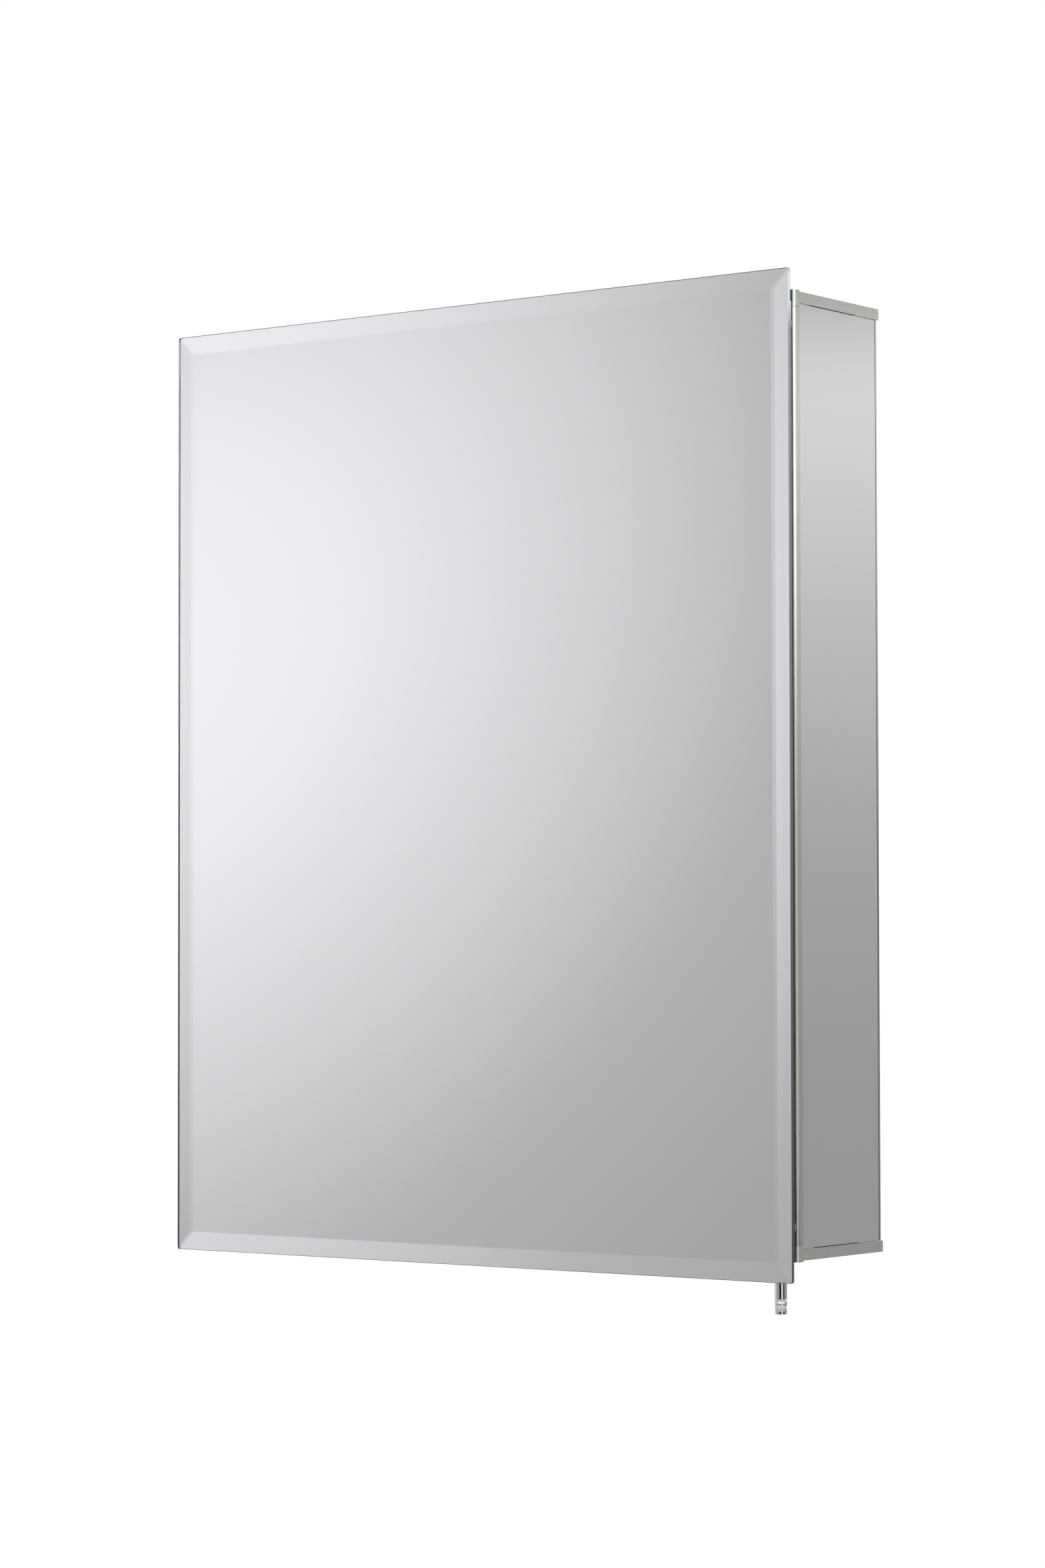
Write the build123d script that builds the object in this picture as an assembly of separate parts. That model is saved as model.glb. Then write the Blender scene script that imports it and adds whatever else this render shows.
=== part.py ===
"""Wall-hung medicine cabinet: a framed aluminium case on a wall rail, a bevelled mirror door on
pivot pins, a hanging pull rod, and three glass shelves that slide in tracks.

Frame: origin at the centre of the wall rail's screw slots on the wall plane. +X is to the right
of a person facing the cabinet, +Y goes into the wall, +Z is up. Millimetres.
"""

import os

from build123d import *

# --- Driving dimensions ---------------------------------------------------------------------
DOOR_WIDTH = 610.0
DOOR_HEIGHT = 762.0
CABINET_DEPTH = 133.0  # from the wall to the front of the door
DOOR_OVERHANG = 16.0  # the door stands this far above the case and below it
DOOR_SIDE_REVEAL = 2.0  # and this far past each side of it
RAIL_DROP = 60.0  # from the top of the case down to the wall rail's screws

GLASS_T = 4.0
BEVEL_WIDTH = 15.0
BEVEL_DEPTH = 1.5
CORE_T = 4.0
INNER_MIRROR_T = 3.0
PANEL_INSET_SIDE = 3.5  # frame, core and inner mirror, inside the glass's side edges
PANEL_INSET_END = 24.0  # and inside its top and bottom edges
FRAME_BAR = 32.0

BEAD_R = 3.1  # the round front of each front corner post, and of the noses that end it
POST_FACE = 4.0  # depth of the flat outer face behind that round front
HINGE_BACKSET = 5.0  # from the door's rear face to the pivot axis
NOSE_RISE = 1.0
NOSE_DROP = 3.1  # below the cap's rim
CAP_RIM_H = 8.6
CAP_RIM_T = 4.4
CAP_LIP_T = 3.0
CAP_PLATE_T = 2.6
CAP_SIDE_INSET = 0.3  # the cap's side lies this far inside the noses

SHEET_T = 1.6
SHEET_INSET = 0.6  # the side sheet lies this far inside the cap's side
SEAM = 0.5
POST_T = 2.0
POST_FRONT_LEG = 22.0
POST_REAR_LEG = 30.0
POST_SETBACK = 2.0  # the posts stop this far in front of the wall, and the caps touch it
POST_STRIP = 2.5
STRIP_LAP = 0.5
NECK_LAP = 1.0
PORT_R = 3.5
PORT_LAP = 1.0  # how far a screw port sinks into its leg
REAR_PORT_INSET = 2.5

SCREW_R = 1.6
SCREW_HEAD_R = 3.6
SCREW_HEAD_H = 2.0
SCREW_HOLE_CLEARANCE = 0.15
SCREW_GRIP = 18.0
SCREW_TIP_GAP = 2.0
SCREW_LAP = 1.0  # how far a shank reaches into its countersunk head
BOSS_R = 4.4
BOSS_START = 0.5  # below the cap's outer face

BACK_GAP = 14.0  # from the wall to the back panel, room for the wall rail
BACK_PANEL_T = 1.0
BACK_MIRROR_T = 3.0
BACK_FLANGE = 14.8
BACK_FLANGE_T = 1.8
BACK_MARGIN = 19.0  # from the case's side to the back mirror
BACK_MIRROR_END = 12.0
RIVET_R = 1.6
RIVET_HEAD_R = 3.0
RIVET_HEAD_T = 1.0
RIVET_TAIL = 1.5
RIVET_TAIL_R = 2.4
RIVETS_PER_SIDE = 6
RIVET_END = 45.0
RIVET_SHIFT = 1.5  # from halfway between the flange's middle and the mirror's edge

RAIL_LENGTH = 520.0
RAIL_T = 2.5
RAIL_FOOT = 16.0
RAIL_LIP_H = 24.0
RAIL_STEP_Z = 12.0
RAIL_STAND_OFF = 3.0  # between the rail's foot and its lip
RAIL_HOOK_GAP = 0.2
SLOT_SPACING = 406.4
SLOT_LENGTH = 25.0
SLOT_WIDTH = 6.5
HANGER_TOP = 44.0
HANGER_FOOT_DROP = 6.0  # from the top of the wall rail's lip
RAIL_RIVETS = 5
RAIL_RIVET_END = 40.0
RAIL_RIVET_DROP = 8.0  # from the top edge of the hanger and of the spacer
SPACER_H = 28.0
SPACER_RISE = 30.0  # from the bottom of the case
SPACER_T = 2.0

TRACK_W = 12.0
TRACK_DEPTH = 6.0
TRACK_T = 1.2
TRACK_LIP = 1.5
TRACK_END_GAP = 1.0
TRACK_FRONT_Y = -88.0
TRACK_REAR_Y = -40.0
TRACK_SCREWS = 3
TRACK_SCREW_END = 40.0
TRACK_SCREW_R = 1.4
TRACK_SCREW_HEAD_R = 2.8
TRACK_SCREW_HEAD_T = 0.6
TRACK_SCREW_BITE = 1.2  # into the side sheet, which it doesn't break through

SHELF_COUNT = 3
SHELF_T = 5.0
SHELF_TRACK_GAP = 3.3
SHELF_FRONT_GAP = 16.0  # from the pivot axis's plane back to the shelf's front edge
SHELF_REAR_GAP = 2.5
SHELF_CORNER_R = 6.0
CLIP_W = 14.0
CLIP_GRIP = 7.5
CLIP_BELOW = 5.0
CLIP_ABOVE = 9.0
CLIP_PLAY = 0.3
CLIP_TAIL_T = 2.4
CLIP_LAP = 0.5

PIN_R = 1.5
PIN_PLAY = 0.05
BUSH_R = 2.1
BUSH_LENGTH = 9.5
BUSH_FLANGE_R = 3.0
BUSH_FLANGE_T = 0.8
BORE_SPARE = 0.5  # below the bush in the cap, and below the pin in the bush
THRUST_PLAY = 0.05  # the door hangs on the upper bush
LOWER_PLAY = 0.5
BRACKET_T = 2.0
BRACKET_FOOT_T = 1.5
BRACKET_WIDTH = 36.0
BRACKET_SCREW_R = 1.2
BRACKET_SCREW_LENGTH = 14.0
BRACKET_SCREW_HEAD_R = 2.0
BRACKET_SCREW_HEAD_H = 1.2
TAB_R = 3.5
PIN_HEAD_R = 2.4
PIN_HEAD_T = 0.8

CATCH_FROM_MIDDLE = 250.0
CATCH_LENGTH = 40.0
CATCH_WIDTH = 14.0
CATCH_DEPTH = 12.0
CATCH_MAGNET_GAP = 0.2
CATCH_EAR_T = 2.0
CATCH_EAR_REAR = 13.5  # behind the pivot axis
CATCH_SIDE_GAP = 0.8  # to the back of the post's round front
CATCH_LAP = 1.0
CATCH_SCREW_BACK = 11.0
CATCH_SCREW_SPREAD = 12.0
MAGNET_WIDTH = 9.0
MAGNET_LENGTH = 30.0
MAGNET_DEPTH = 6.0
STRIKE_T = 1.0
STRIKE_SIDE = 1.5  # past the magnet at each side
STRIKE_END = 2.0  # past the magnet at each end
BUMPER_R = 4.0
BUMPER_INSET = 1.0  # from the edge of the inner mirror
BUMPER_PLAY = 0.2
BUMPER_FROM_END = 17.0

ROD_R = 4.75
ROD_WAIST_R = 4.0
ROD_TIP_R = 4.55
ROD_TIP_CHAMFER = 0.6
ROD_DROP = 24.0  # below the bottom edge of the glass
ROD_GROOVES = (5.1, 10.8)  # centres of the two grooves, above the rod's tip
ROD_GROOVE_HALF = 0.9
ROD_INBOARD = 16.0  # from the door's right edge to the rod's axis
ROD_BACK = 10.0  # from the front of the door to the rod's axis
HANDLE_PLATE_T = 2.5
HANDLE_PLATE_INNER = 21.0
HANDLE_PLATE_OUTER = 6.0
HANDLE_PLATE_SCREWS = (4.0, 10.0)  # from the plate's inner end
HANDLE_SCREW_R = 1.5
HANDLE_SCREW_HEAD_R = 2.75
HANDLE_SCREW_HEAD_H = 1.5
HANDLE_SCREW_GRIP = 12.0
HANDLE_SCREW_LAP = 1.0

# --- Planes and places that follow from them --------------------------------------------------
BODY_TOP = RAIL_DROP
BODY_HEIGHT = DOOR_HEIGHT - 2 * DOOR_OVERHANG
BODY_BOTTOM = BODY_TOP - BODY_HEIGHT
MIDDLE_Z = (BODY_TOP + BODY_BOTTOM) / 2
BODY_X = DOOR_WIDTH / 2 - DOOR_SIDE_REVEAL
CAP_X = BODY_X - CAP_SIDE_INSET

DOOR_X = DOOR_WIDTH / 2
DOOR_TOP = BODY_TOP + DOOR_OVERHANG
DOOR_BOTTOM = BODY_BOTTOM - DOOR_OVERHANG
DOOR_FRONT = -CABINET_DEPTH
GLASS_BACK = DOOR_FRONT + GLASS_T
CORE_BACK = GLASS_BACK + CORE_T
DOOR_BACK = CORE_BACK + INNER_MIRROR_T
CORE_MIDDLE = (GLASS_BACK + CORE_BACK) / 2
PANEL_X = DOOR_X - PANEL_INSET_SIDE
PANEL_TOP = DOOR_TOP - PANEL_INSET_END
PANEL_BOTTOM = DOOR_BOTTOM + PANEL_INSET_END

AXIS_Y = DOOR_BACK + HINGE_BACKSET
AXIS_X = BODY_X - BEAD_R
LEG_FRONT = AXIS_Y + POST_FACE + SEAM

SHEET_OUT = BODY_X - SHEET_INSET
SHEET_IN = SHEET_OUT - SHEET_T
LEG_IN = SHEET_IN - POST_T
PORT_X = LEG_IN - PORT_R + PORT_LAP
FRONT_PORT_Y = AXIS_Y + POST_FRONT_LEG - PORT_R
REAR_PORT_Y = -POST_SETBACK - PORT_R - REAR_PORT_INSET
RIM_TOP_Z = BODY_TOP - CAP_RIM_H
RIM_BOTTOM_Z = BODY_BOTTOM + CAP_RIM_H

BACK_PANEL_REAR = -BACK_GAP
BACK_PANEL_FRONT = BACK_PANEL_REAR - BACK_PANEL_T
BACK_MIRROR_FRONT = BACK_PANEL_FRONT - BACK_MIRROR_T
FLANGE_X = LEG_IN - BACK_FLANGE
BACK_MIRROR_X = BODY_X - BACK_MARGIN
RIVET_X = (FLANGE_X + BACK_FLANGE / 2 + BACK_MIRROR_X) / 2 + RIVET_SHIFT

TRACK_IN = SHEET_IN - TRACK_DEPTH
SHELF_X = TRACK_IN - SHELF_TRACK_GAP
SHELF_FRONT = AXIS_Y + SHELF_FRONT_GAP
SHELF_REAR = BACK_MIRROR_FRONT - SHELF_REAR_GAP
INSIDE_BOTTOM = BODY_BOTTOM + CAP_PLATE_T
INSIDE_TOP = BODY_TOP - CAP_PLATE_T
SHELF_PITCH = (INSIDE_TOP - INSIDE_BOTTOM) / (SHELF_COUNT + 1)

CATCH_OUT = AXIS_X - BEAD_R - CATCH_SIDE_GAP
STRIKE_BACK = DOOR_BACK + STRIKE_T
ROD_X = DOOR_X - ROD_INBOARD
ROD_Y = DOOR_FRONT + ROD_BACK


# --- Shape helpers ----------------------------------------------------------------------------
def block(x, y, z):
    """A box from three (low, high) pairs."""
    lows = [min(pair) for pair in (x, y, z)]
    sizes = [abs(pair[1] - pair[0]) for pair in (x, y, z)]
    return Pos(*lows) * Box(*sizes, align=(Align.MIN, Align.MIN, Align.MIN))


def upright(x, y, z, radius):
    """A vertical cylinder over the (low, high) pair z."""
    low, high = min(z), max(z)
    return Pos(x, y, low) * Cylinder(radius, high - low, align=(Align.CENTER, Align.CENTER, Align.MIN))


def level(x, y, z, radius):
    """A cylinder along Y over the (low, high) pair y."""
    low, high = min(y), max(y)
    barrel = Cylinder(radius, high - low, align=(Align.CENTER, Align.CENTER, Align.MIN))
    return Pos(x, low, z) * Rot(-90, 0, 0) * barrel


def across(x, y, z, radius):
    """A cylinder along X over the (low, high) pair x."""
    low, high = min(x), max(x)
    barrel = Cylinder(radius, high - low, align=(Align.CENTER, Align.CENTER, Align.MIN))
    return Pos(low, y, z) * Rot(0, 90, 0) * barrel


def along_x(outline, half_length):
    """A bar of one (y, z) outline, centred on x = 0."""
    face = Plane.YZ * Polygon(*outline, align=None)
    return extrude(face, amount=half_length, both=True)


def both_sides(shape):
    """The shape and its mirror image across the cabinet's middle."""
    return shape, shape.mirror(Plane.YZ)


def spread(count, low, high):
    """Evenly spaced values from low to high."""
    return [low + (high - low) * i / (count - 1) for i in range(count)]


def group(solids):
    """Several separate solids as one node."""
    return Compound(children=list(solids))


def turned(x, y, outline):
    """A round piece about the vertical line at x, y, from (radius, z) points."""
    face = Plane.XZ * Polygon(*outline, align=None)
    return Pos(x, y, 0) * revolve(face, Axis.Z)


# --- Case ---------------------------------------------------------------------------------------
def corner_bead(side, z):
    """The section that a front post and the noses share: round in front, flat outside."""
    face = block((side * LEG_IN, side * BODY_X), (AXIS_Y, AXIS_Y + POST_FACE), z)
    return face + upright(side * AXIS_X, AXIS_Y, z, BEAD_R)


def cap(top):
    """The upper or lower end cap: a plate with a rim, a nose at each front corner, screw bosses."""
    face, sign = (BODY_TOP, 1) if top else (BODY_BOTTOM, -1)
    rim = face - sign * CAP_RIM_H
    inside = face - sign * CAP_PLATE_T
    shape = block((-CAP_X, CAP_X), (AXIS_Y, 0), (face, rim))
    shape -= block(
        (CAP_RIM_T - CAP_X, CAP_X - CAP_RIM_T), (AXIS_Y + CAP_LIP_T, -CAP_RIM_T), (inside, rim)
    )
    for side in (-1, 1):
        ends = (rim - sign * NOSE_DROP, face + sign * NOSE_RISE)
        shape += corner_bead(side, ends)
        for y in (FRONT_PORT_Y, REAR_PORT_Y):
            shape += upright(side * PORT_X, y, (face - sign * BOSS_START, rim), BOSS_R)
    for side in (-1, 1):
        for y in (FRONT_PORT_Y, REAR_PORT_Y):
            hole_r = SCREW_R + SCREW_HOLE_CLEARANCE
            shape -= upright(side * PORT_X, y, (face, rim), hole_r)
            shape -= screw_head(side * PORT_X, y, face, sign)
    bore = (face + sign * NOSE_RISE, face + sign * (NOSE_RISE - BUSH_LENGTH - BORE_SPARE))
    return shape - upright(-AXIS_X, AXIS_Y, bore, BUSH_R)


def screw_head(x, y, face, sign):
    """A countersunk head, flush with the cap's outer face."""
    cone = [(0, face), (SCREW_HEAD_R, face), (SCREW_R, face - sign * SCREW_HEAD_H)]
    return turned(x, y, [*cone, (0, face - sign * SCREW_HEAD_H)])


def cap_screws(top):
    """Four countersunk screws from a cap into the ends of the posts."""
    face, sign = (BODY_TOP, 1) if top else (BODY_BOTTOM, -1)
    tip = face - sign * (CAP_RIM_H + SCREW_GRIP - SCREW_TIP_GAP)
    screws = []
    for side in (-1, 1):
        for y in (FRONT_PORT_Y, REAR_PORT_Y):
            shank = upright(side * PORT_X, y, (face - sign * SCREW_LAP, tip), SCREW_R)
            screws.append(screw_head(side * PORT_X, y, face, sign) + shank)
    return group(screws)


def post_ports(y):
    """The two screw bores in the ends of a right-hand post."""
    bores = []
    for end, sign in ((RIM_TOP_Z, -1), (RIM_BOTTOM_Z, 1)):
        bores.append(upright(PORT_X, y, (end, end + sign * SCREW_GRIP), SCREW_R))
    return bores


def front_post():
    """A front post, drawn on the right: a round-fronted bead, a leg behind the side sheet, a port."""
    height = (RIM_BOTTOM_Z, RIM_TOP_Z)
    bead = (RIM_BOTTOM_Z + NOSE_DROP + SEAM / 2, RIM_TOP_Z - NOSE_DROP - SEAM / 2)
    leg = block((LEG_IN, SHEET_IN), (LEG_FRONT, AXIS_Y + POST_FRONT_LEG), height)
    neck = block((LEG_IN, SHEET_IN), (LEG_FRONT - SEAM, LEG_FRONT + NECK_LAP), bead)
    shape = leg + neck + corner_bead(1, bead)
    shape += upright(PORT_X, FRONT_PORT_Y, height, PORT_R)
    for bore in post_ports(FRONT_PORT_Y):
        shape -= bore
    return shape


def right_front_post():
    """The right-hand front post, with the catches' screw holes."""
    shape = front_post()
    for z in (*catch_screw_levels(True), *catch_screw_levels(False)):
        shape -= across((LEG_IN, SHEET_IN), AXIS_Y + CATCH_SCREW_BACK, z, BRACKET_SCREW_R)
    return shape


def rear_post():
    """The right-hand rear post: leg, edge strip, flange for the back panel and a screw port."""
    height = (RIM_BOTTOM_Z, RIM_TOP_Z)
    wall_end = -POST_SETBACK
    shape = block((LEG_IN, SHEET_IN), (-POST_REAR_LEG - POST_SETBACK, wall_end), height)
    shape += block((SHEET_IN - STRIP_LAP, SHEET_OUT), (wall_end - POST_STRIP, wall_end), height)
    flange = (BACK_PANEL_REAR, BACK_PANEL_REAR + BACK_FLANGE_T)
    shape += block((FLANGE_X, LEG_IN + STRIP_LAP), flange, height)
    shape += upright(PORT_X, REAR_PORT_Y, height, PORT_R)
    for bore in post_ports(REAR_PORT_Y):
        shape -= bore
    for z in rivet_levels():
        shape -= level(RIVET_X, flange, z, RIVET_R)
    return shape


def side_sheet():
    """The right-hand flat side sheet, a seam's width inside its frame."""
    edges = (LEG_FRONT, -POST_SETBACK - POST_STRIP - SEAM)
    shape = block((SHEET_IN, SHEET_OUT), edges, (RIM_BOTTOM_Z + SEAM, RIM_TOP_Z - SEAM))
    for y in (TRACK_FRONT_Y, TRACK_REAR_Y):
        for z in track_levels():
            shape -= across((SHEET_IN, SHEET_IN + TRACK_SCREW_BITE), y, z, TRACK_SCREW_R)
    return shape


def rivet_levels():
    """Heights of the back panel's edge rivets."""
    return spread(RIVETS_PER_SIDE, BODY_BOTTOM + RIVET_END, BODY_TOP - RIVET_END)


def rail_rivet_places():
    """(x, z) of the rivets that hold the hanger and the spacer to the back panel."""
    reach = RAIL_LENGTH / 2 - RAIL_RIVET_END
    xs = spread(RAIL_RIVETS, -reach, reach)
    levels = (HANGER_TOP - RAIL_RIVET_DROP, BODY_BOTTOM + SPACER_RISE + SPACER_H - RAIL_RIVET_DROP)
    return [(x, z) for z in levels for x in xs]


def back_panel():
    """The sheet back, riveted to the flanges of the rear posts."""
    width = LEG_IN - SEAM
    height = (INSIDE_BOTTOM + SEAM, INSIDE_TOP - SEAM)
    shape = block((-width, width), (BACK_PANEL_FRONT, BACK_PANEL_REAR), height)
    holes = [(side * RIVET_X, z) for side in (-1, 1) for z in rivet_levels()]
    for x, z in holes + rail_rivet_places():
        shape -= level(x, (BACK_PANEL_FRONT, BACK_PANEL_REAR), z, RIVET_R)
    return shape


def back_panel_rivets():
    """Domed blind rivets down both edges of the back panel."""
    rivets = []
    head = (BACK_PANEL_FRONT - RIVET_HEAD_T, BACK_PANEL_FRONT)
    tail = BACK_PANEL_REAR + BACK_FLANGE_T
    for side in (-1, 1):
        for z in rivet_levels():
            rivet = level(side * RIVET_X, (head[0], tail + RIVET_TAIL), z, RIVET_R)
            rivet += level(side * RIVET_X, head, z, RIVET_HEAD_R)
            rivet += level(side * RIVET_X, (tail, tail + RIVET_TAIL), z, RIVET_TAIL_R)
            rivets.append(rivet)
    return group(rivets)


def rail_rivets():
    """Flush rivets that hold the hanger and the spacer behind the back panel."""
    rivets = []
    for x, z in rail_rivet_places():
        plate_t = RAIL_T if z > 0 else SPACER_T
        seat = BACK_PANEL_REAR + plate_t
        shank = level(x, (BACK_PANEL_FRONT, seat + RIVET_HEAD_T), z, RIVET_R)
        rivets.append(shank + level(x, (seat, seat + RIVET_HEAD_T), z, RIVET_HEAD_R))
    return group(rivets)


def back_mirror():
    """The mirror on the back wall inside."""
    height = (BODY_BOTTOM + BACK_MIRROR_END, BODY_TOP - BACK_MIRROR_END)
    return block((-BACK_MIRROR_X, BACK_MIRROR_X), (BACK_MIRROR_FRONT, BACK_PANEL_FRONT), height)


def wall_rail():
    """The rail on the wall: a slotted plate that steps forward to an upright lip."""
    lip = (-2 * RAIL_T - RAIL_STAND_OFF, -RAIL_T - RAIL_STAND_OFF)
    outline = [
        (0, -RAIL_FOOT), (0, RAIL_STEP_Z), (lip[1], RAIL_STEP_Z), (lip[1], RAIL_LIP_H),
        (lip[0], RAIL_LIP_H), (lip[0], RAIL_STEP_Z - RAIL_T), (-RAIL_T, RAIL_STEP_Z - RAIL_T),
        (-RAIL_T, -RAIL_FOOT),
    ]
    shape = along_x(outline, RAIL_LENGTH / 2)
    for side in (-1, 1):
        x = side * SLOT_SPACING / 2
        reach = (SLOT_LENGTH - SLOT_WIDTH) / 2
        shape -= block((x - reach, x + reach), (-RAIL_T, 0), (-SLOT_WIDTH / 2, SLOT_WIDTH / 2))
        for end in (x - reach, x + reach):
            shape -= level(end, (-RAIL_T, 0), 0, SLOT_WIDTH / 2)
    return shape


def hanger_rail():
    """The hook on the cabinet's back that drops over the wall rail's lip."""
    plate = (BACK_PANEL_REAR, BACK_PANEL_REAR + RAIL_T)
    lip_front = -RAIL_T - RAIL_STAND_OFF + RAIL_HOOK_GAP
    lip = (lip_front, lip_front + RAIL_T)
    foot = RAIL_LIP_H - HANGER_FOOT_DROP
    outline = [
        (plate[0], foot), (plate[0], HANGER_TOP), (plate[1], HANGER_TOP),
        (plate[1], RAIL_LIP_H + RAIL_T), (lip[1], RAIL_LIP_H + RAIL_T),
        (lip[1], RAIL_STEP_Z + RAIL_HOOK_GAP), (lip[0], RAIL_STEP_Z + RAIL_HOOK_GAP),
        (lip[0], RAIL_LIP_H), (plate[1], RAIL_LIP_H), (plate[1], foot),
    ]
    shape = along_x(outline, RAIL_LENGTH / 2)
    for x, z in rail_rivet_places():
        if z > 0:
            shape -= level(x, plate, z, RIVET_R)
    return shape


def spacer_rail():
    """The lower rail that keeps the cabinet parallel to the wall."""
    low = BODY_BOTTOM + SPACER_RISE
    high = low + SPACER_H
    plate = (BACK_PANEL_REAR, BACK_PANEL_REAR + SPACER_T)
    outline = [
        (plate[0], low), (plate[0], high), (plate[1], high), (plate[1], low + SPACER_T),
        (-SPACER_T, low + SPACER_T), (-SPACER_T, high), (0, high), (0, low),
    ]
    shape = along_x(outline, RAIL_LENGTH / 2)
    for x, z in rail_rivet_places():
        if z < 0:
            shape -= level(x, plate, z, RIVET_R)
    return shape


def track_levels():
    """Heights of the screws that hold one shelf track."""
    return spread(TRACK_SCREWS, RIM_BOTTOM_Z + TRACK_SCREW_END, RIM_TOP_Z - TRACK_SCREW_END)


def shelf_track(y):
    """A right-hand lipped channel, open to the inside of the cabinet."""
    height = (RIM_BOTTOM_Z + TRACK_END_GAP, RIM_TOP_Z - TRACK_END_GAP)
    half = TRACK_W / 2
    shape = block((TRACK_IN, SHEET_IN), (y - half, y + half), height)
    room = half - TRACK_T
    shape -= block((TRACK_IN + TRACK_T, SHEET_IN - TRACK_T), (y - room, y + room), height)
    mouth = room - TRACK_LIP
    shape -= block((TRACK_IN, TRACK_IN + TRACK_T), (y - mouth, y + mouth), height)
    for z in track_levels():
        shape -= across((SHEET_IN - TRACK_T, SHEET_IN), y, z, TRACK_SCREW_R)
    return shape


def track_screws():
    """Low-headed screws through the tracks into blind holes in the side sheets."""
    screws = []
    seat = SHEET_IN - TRACK_T
    for y in (TRACK_FRONT_Y, TRACK_REAR_Y):
        for z in track_levels():
            screw = across((seat, SHEET_IN + TRACK_SCREW_BITE), y, z, TRACK_SCREW_R)
            screw += across((seat - TRACK_SCREW_HEAD_T, seat), y, z, TRACK_SCREW_HEAD_R)
            screws += both_sides(screw)
    return group(screws)


def pivot_bush(top):
    """A flanged nylon bush in a nose of a cap."""
    face, sign = (BODY_TOP, 1) if top else (BODY_BOTTOM, -1)
    seat = face + sign * NOSE_RISE
    shape = upright(-AXIS_X, AXIS_Y, (seat, seat - sign * BUSH_LENGTH), BUSH_R)
    shape += upright(-AXIS_X, AXIS_Y, (seat, seat + sign * BUSH_FLANGE_T), BUSH_FLANGE_R)
    bore = (seat + sign * BUSH_FLANGE_T, seat - sign * BUSH_LENGTH)
    return shape - upright(-AXIS_X, AXIS_Y, bore, PIN_R + PIN_PLAY)


def catch_height(upper):
    """The middle of the upper or the lower catch."""
    return MIDDLE_Z + (CATCH_FROM_MIDDLE if upper else -CATCH_FROM_MIDDLE)


def catch_box(upper):
    """(x, y, z) pairs of a catch's main block and of its magnet."""
    z = catch_height(upper)
    front = STRIKE_BACK + CATCH_MAGNET_GAP
    x = (CATCH_OUT - CATCH_WIDTH, CATCH_OUT)
    middle = sum(x) / 2
    main = (x, (front, front + CATCH_DEPTH), (z - CATCH_LENGTH / 2, z + CATCH_LENGTH / 2))
    magnet = (
        (middle - MAGNET_WIDTH / 2, middle + MAGNET_WIDTH / 2),
        (front, front + MAGNET_DEPTH),
        (z - MAGNET_LENGTH / 2, z + MAGNET_LENGTH / 2),
    )
    return main, magnet


def catch_housing(upper):
    """The moulded body of a magnetic catch, with an ear that is screwed to the front post."""
    main, magnet = catch_box(upper)
    shape = block(*main)
    ear_y = (LEG_FRONT, AXIS_Y + CATCH_EAR_REAR)
    shape += block((LEG_IN - CATCH_EAR_T, LEG_IN), ear_y, main[2])
    shape += block((CATCH_OUT - CATCH_LAP, LEG_IN), (ear_y[0], main[1][1]), main[2])
    for z in catch_screw_levels(upper):
        shape -= across((LEG_IN - CATCH_EAR_T, LEG_IN), AXIS_Y + CATCH_SCREW_BACK, z, BRACKET_SCREW_R)
    return shape - block(*magnet)


def catch_screw_levels(upper):
    """Heights of the two screws through a catch's ear."""
    z = catch_height(upper)
    return z - CATCH_SCREW_SPREAD, z + CATCH_SCREW_SPREAD


def catch_screws():
    """Small pan-head screws through the ears into the right-hand front post."""
    screws = []
    y = AXIS_Y + CATCH_SCREW_BACK
    seat = LEG_IN - CATCH_EAR_T
    for z in (*catch_screw_levels(True), *catch_screw_levels(False)):
        screw = across((seat, SHEET_IN), y, z, BRACKET_SCREW_R)
        screws.append(screw + across((seat - BRACKET_SCREW_HEAD_H, seat), y, z, BRACKET_SCREW_HEAD_R))
    return group(screws)


def strike(upper):
    """The steel plate on the door that a catch's magnet holds."""
    _, magnet = catch_box(upper)
    x, _, z = magnet
    width = (x[0] - STRIKE_SIDE, x[1] + STRIKE_SIDE)
    return block(width, (DOOR_BACK, STRIKE_BACK), (z[0] - STRIKE_END, z[1] + STRIKE_END))


# --- Door ---------------------------------------------------------------------------------------
def door_glass():
    """The front mirror, bevelled on all four edges."""
    shape = block((-DOOR_X, DOOR_X), (DOOR_FRONT, GLASS_BACK), (DOOR_BOTTOM, DOOR_TOP))
    middle = (DOOR_TOP + DOOR_BOTTOM) / 2
    back = Pos(0, DOOR_FRONT + BEVEL_DEPTH, middle) * Rot(90, 0, 0)
    front = Pos(0, DOOR_FRONT, middle) * Rot(90, 0, 0)
    wide = back * Rectangle(DOOR_WIDTH, DOOR_HEIGHT)
    field = front * Rectangle(DOOR_WIDTH - 2 * BEVEL_WIDTH, DOOR_HEIGHT - 2 * BEVEL_WIDTH)
    frustum = loft([wide, field], ruled=True)
    slab = block((-DOOR_X, DOOR_X), (DOOR_FRONT + BEVEL_DEPTH, GLASS_BACK), (DOOR_BOTTOM, DOOR_TOP))
    return (shape & slab) + frustum


def door_stiles():
    """The left and right bars of the door's frame, with the brackets' and the handle's screw holes."""
    right = block((PANEL_X - FRAME_BAR, PANEL_X), (GLASS_BACK, CORE_BACK), (PANEL_BOTTOM, PANEL_TOP))
    left = right.mirror(Plane.YZ)
    for place in bracket_screw_places():
        for end, sign in ((PANEL_TOP, -1), (PANEL_BOTTOM, 1)):
            depth = (end, end + sign * BRACKET_SCREW_LENGTH)
            left -= upright(place, CORE_MIDDLE, depth, BRACKET_SCREW_R)
    for place in handle_plate_screw_places():
        depth = (PANEL_BOTTOM, PANEL_BOTTOM + BRACKET_SCREW_LENGTH)
        right -= upright(place, CORE_MIDDLE, depth, BRACKET_SCREW_R)
    return left, right


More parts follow.
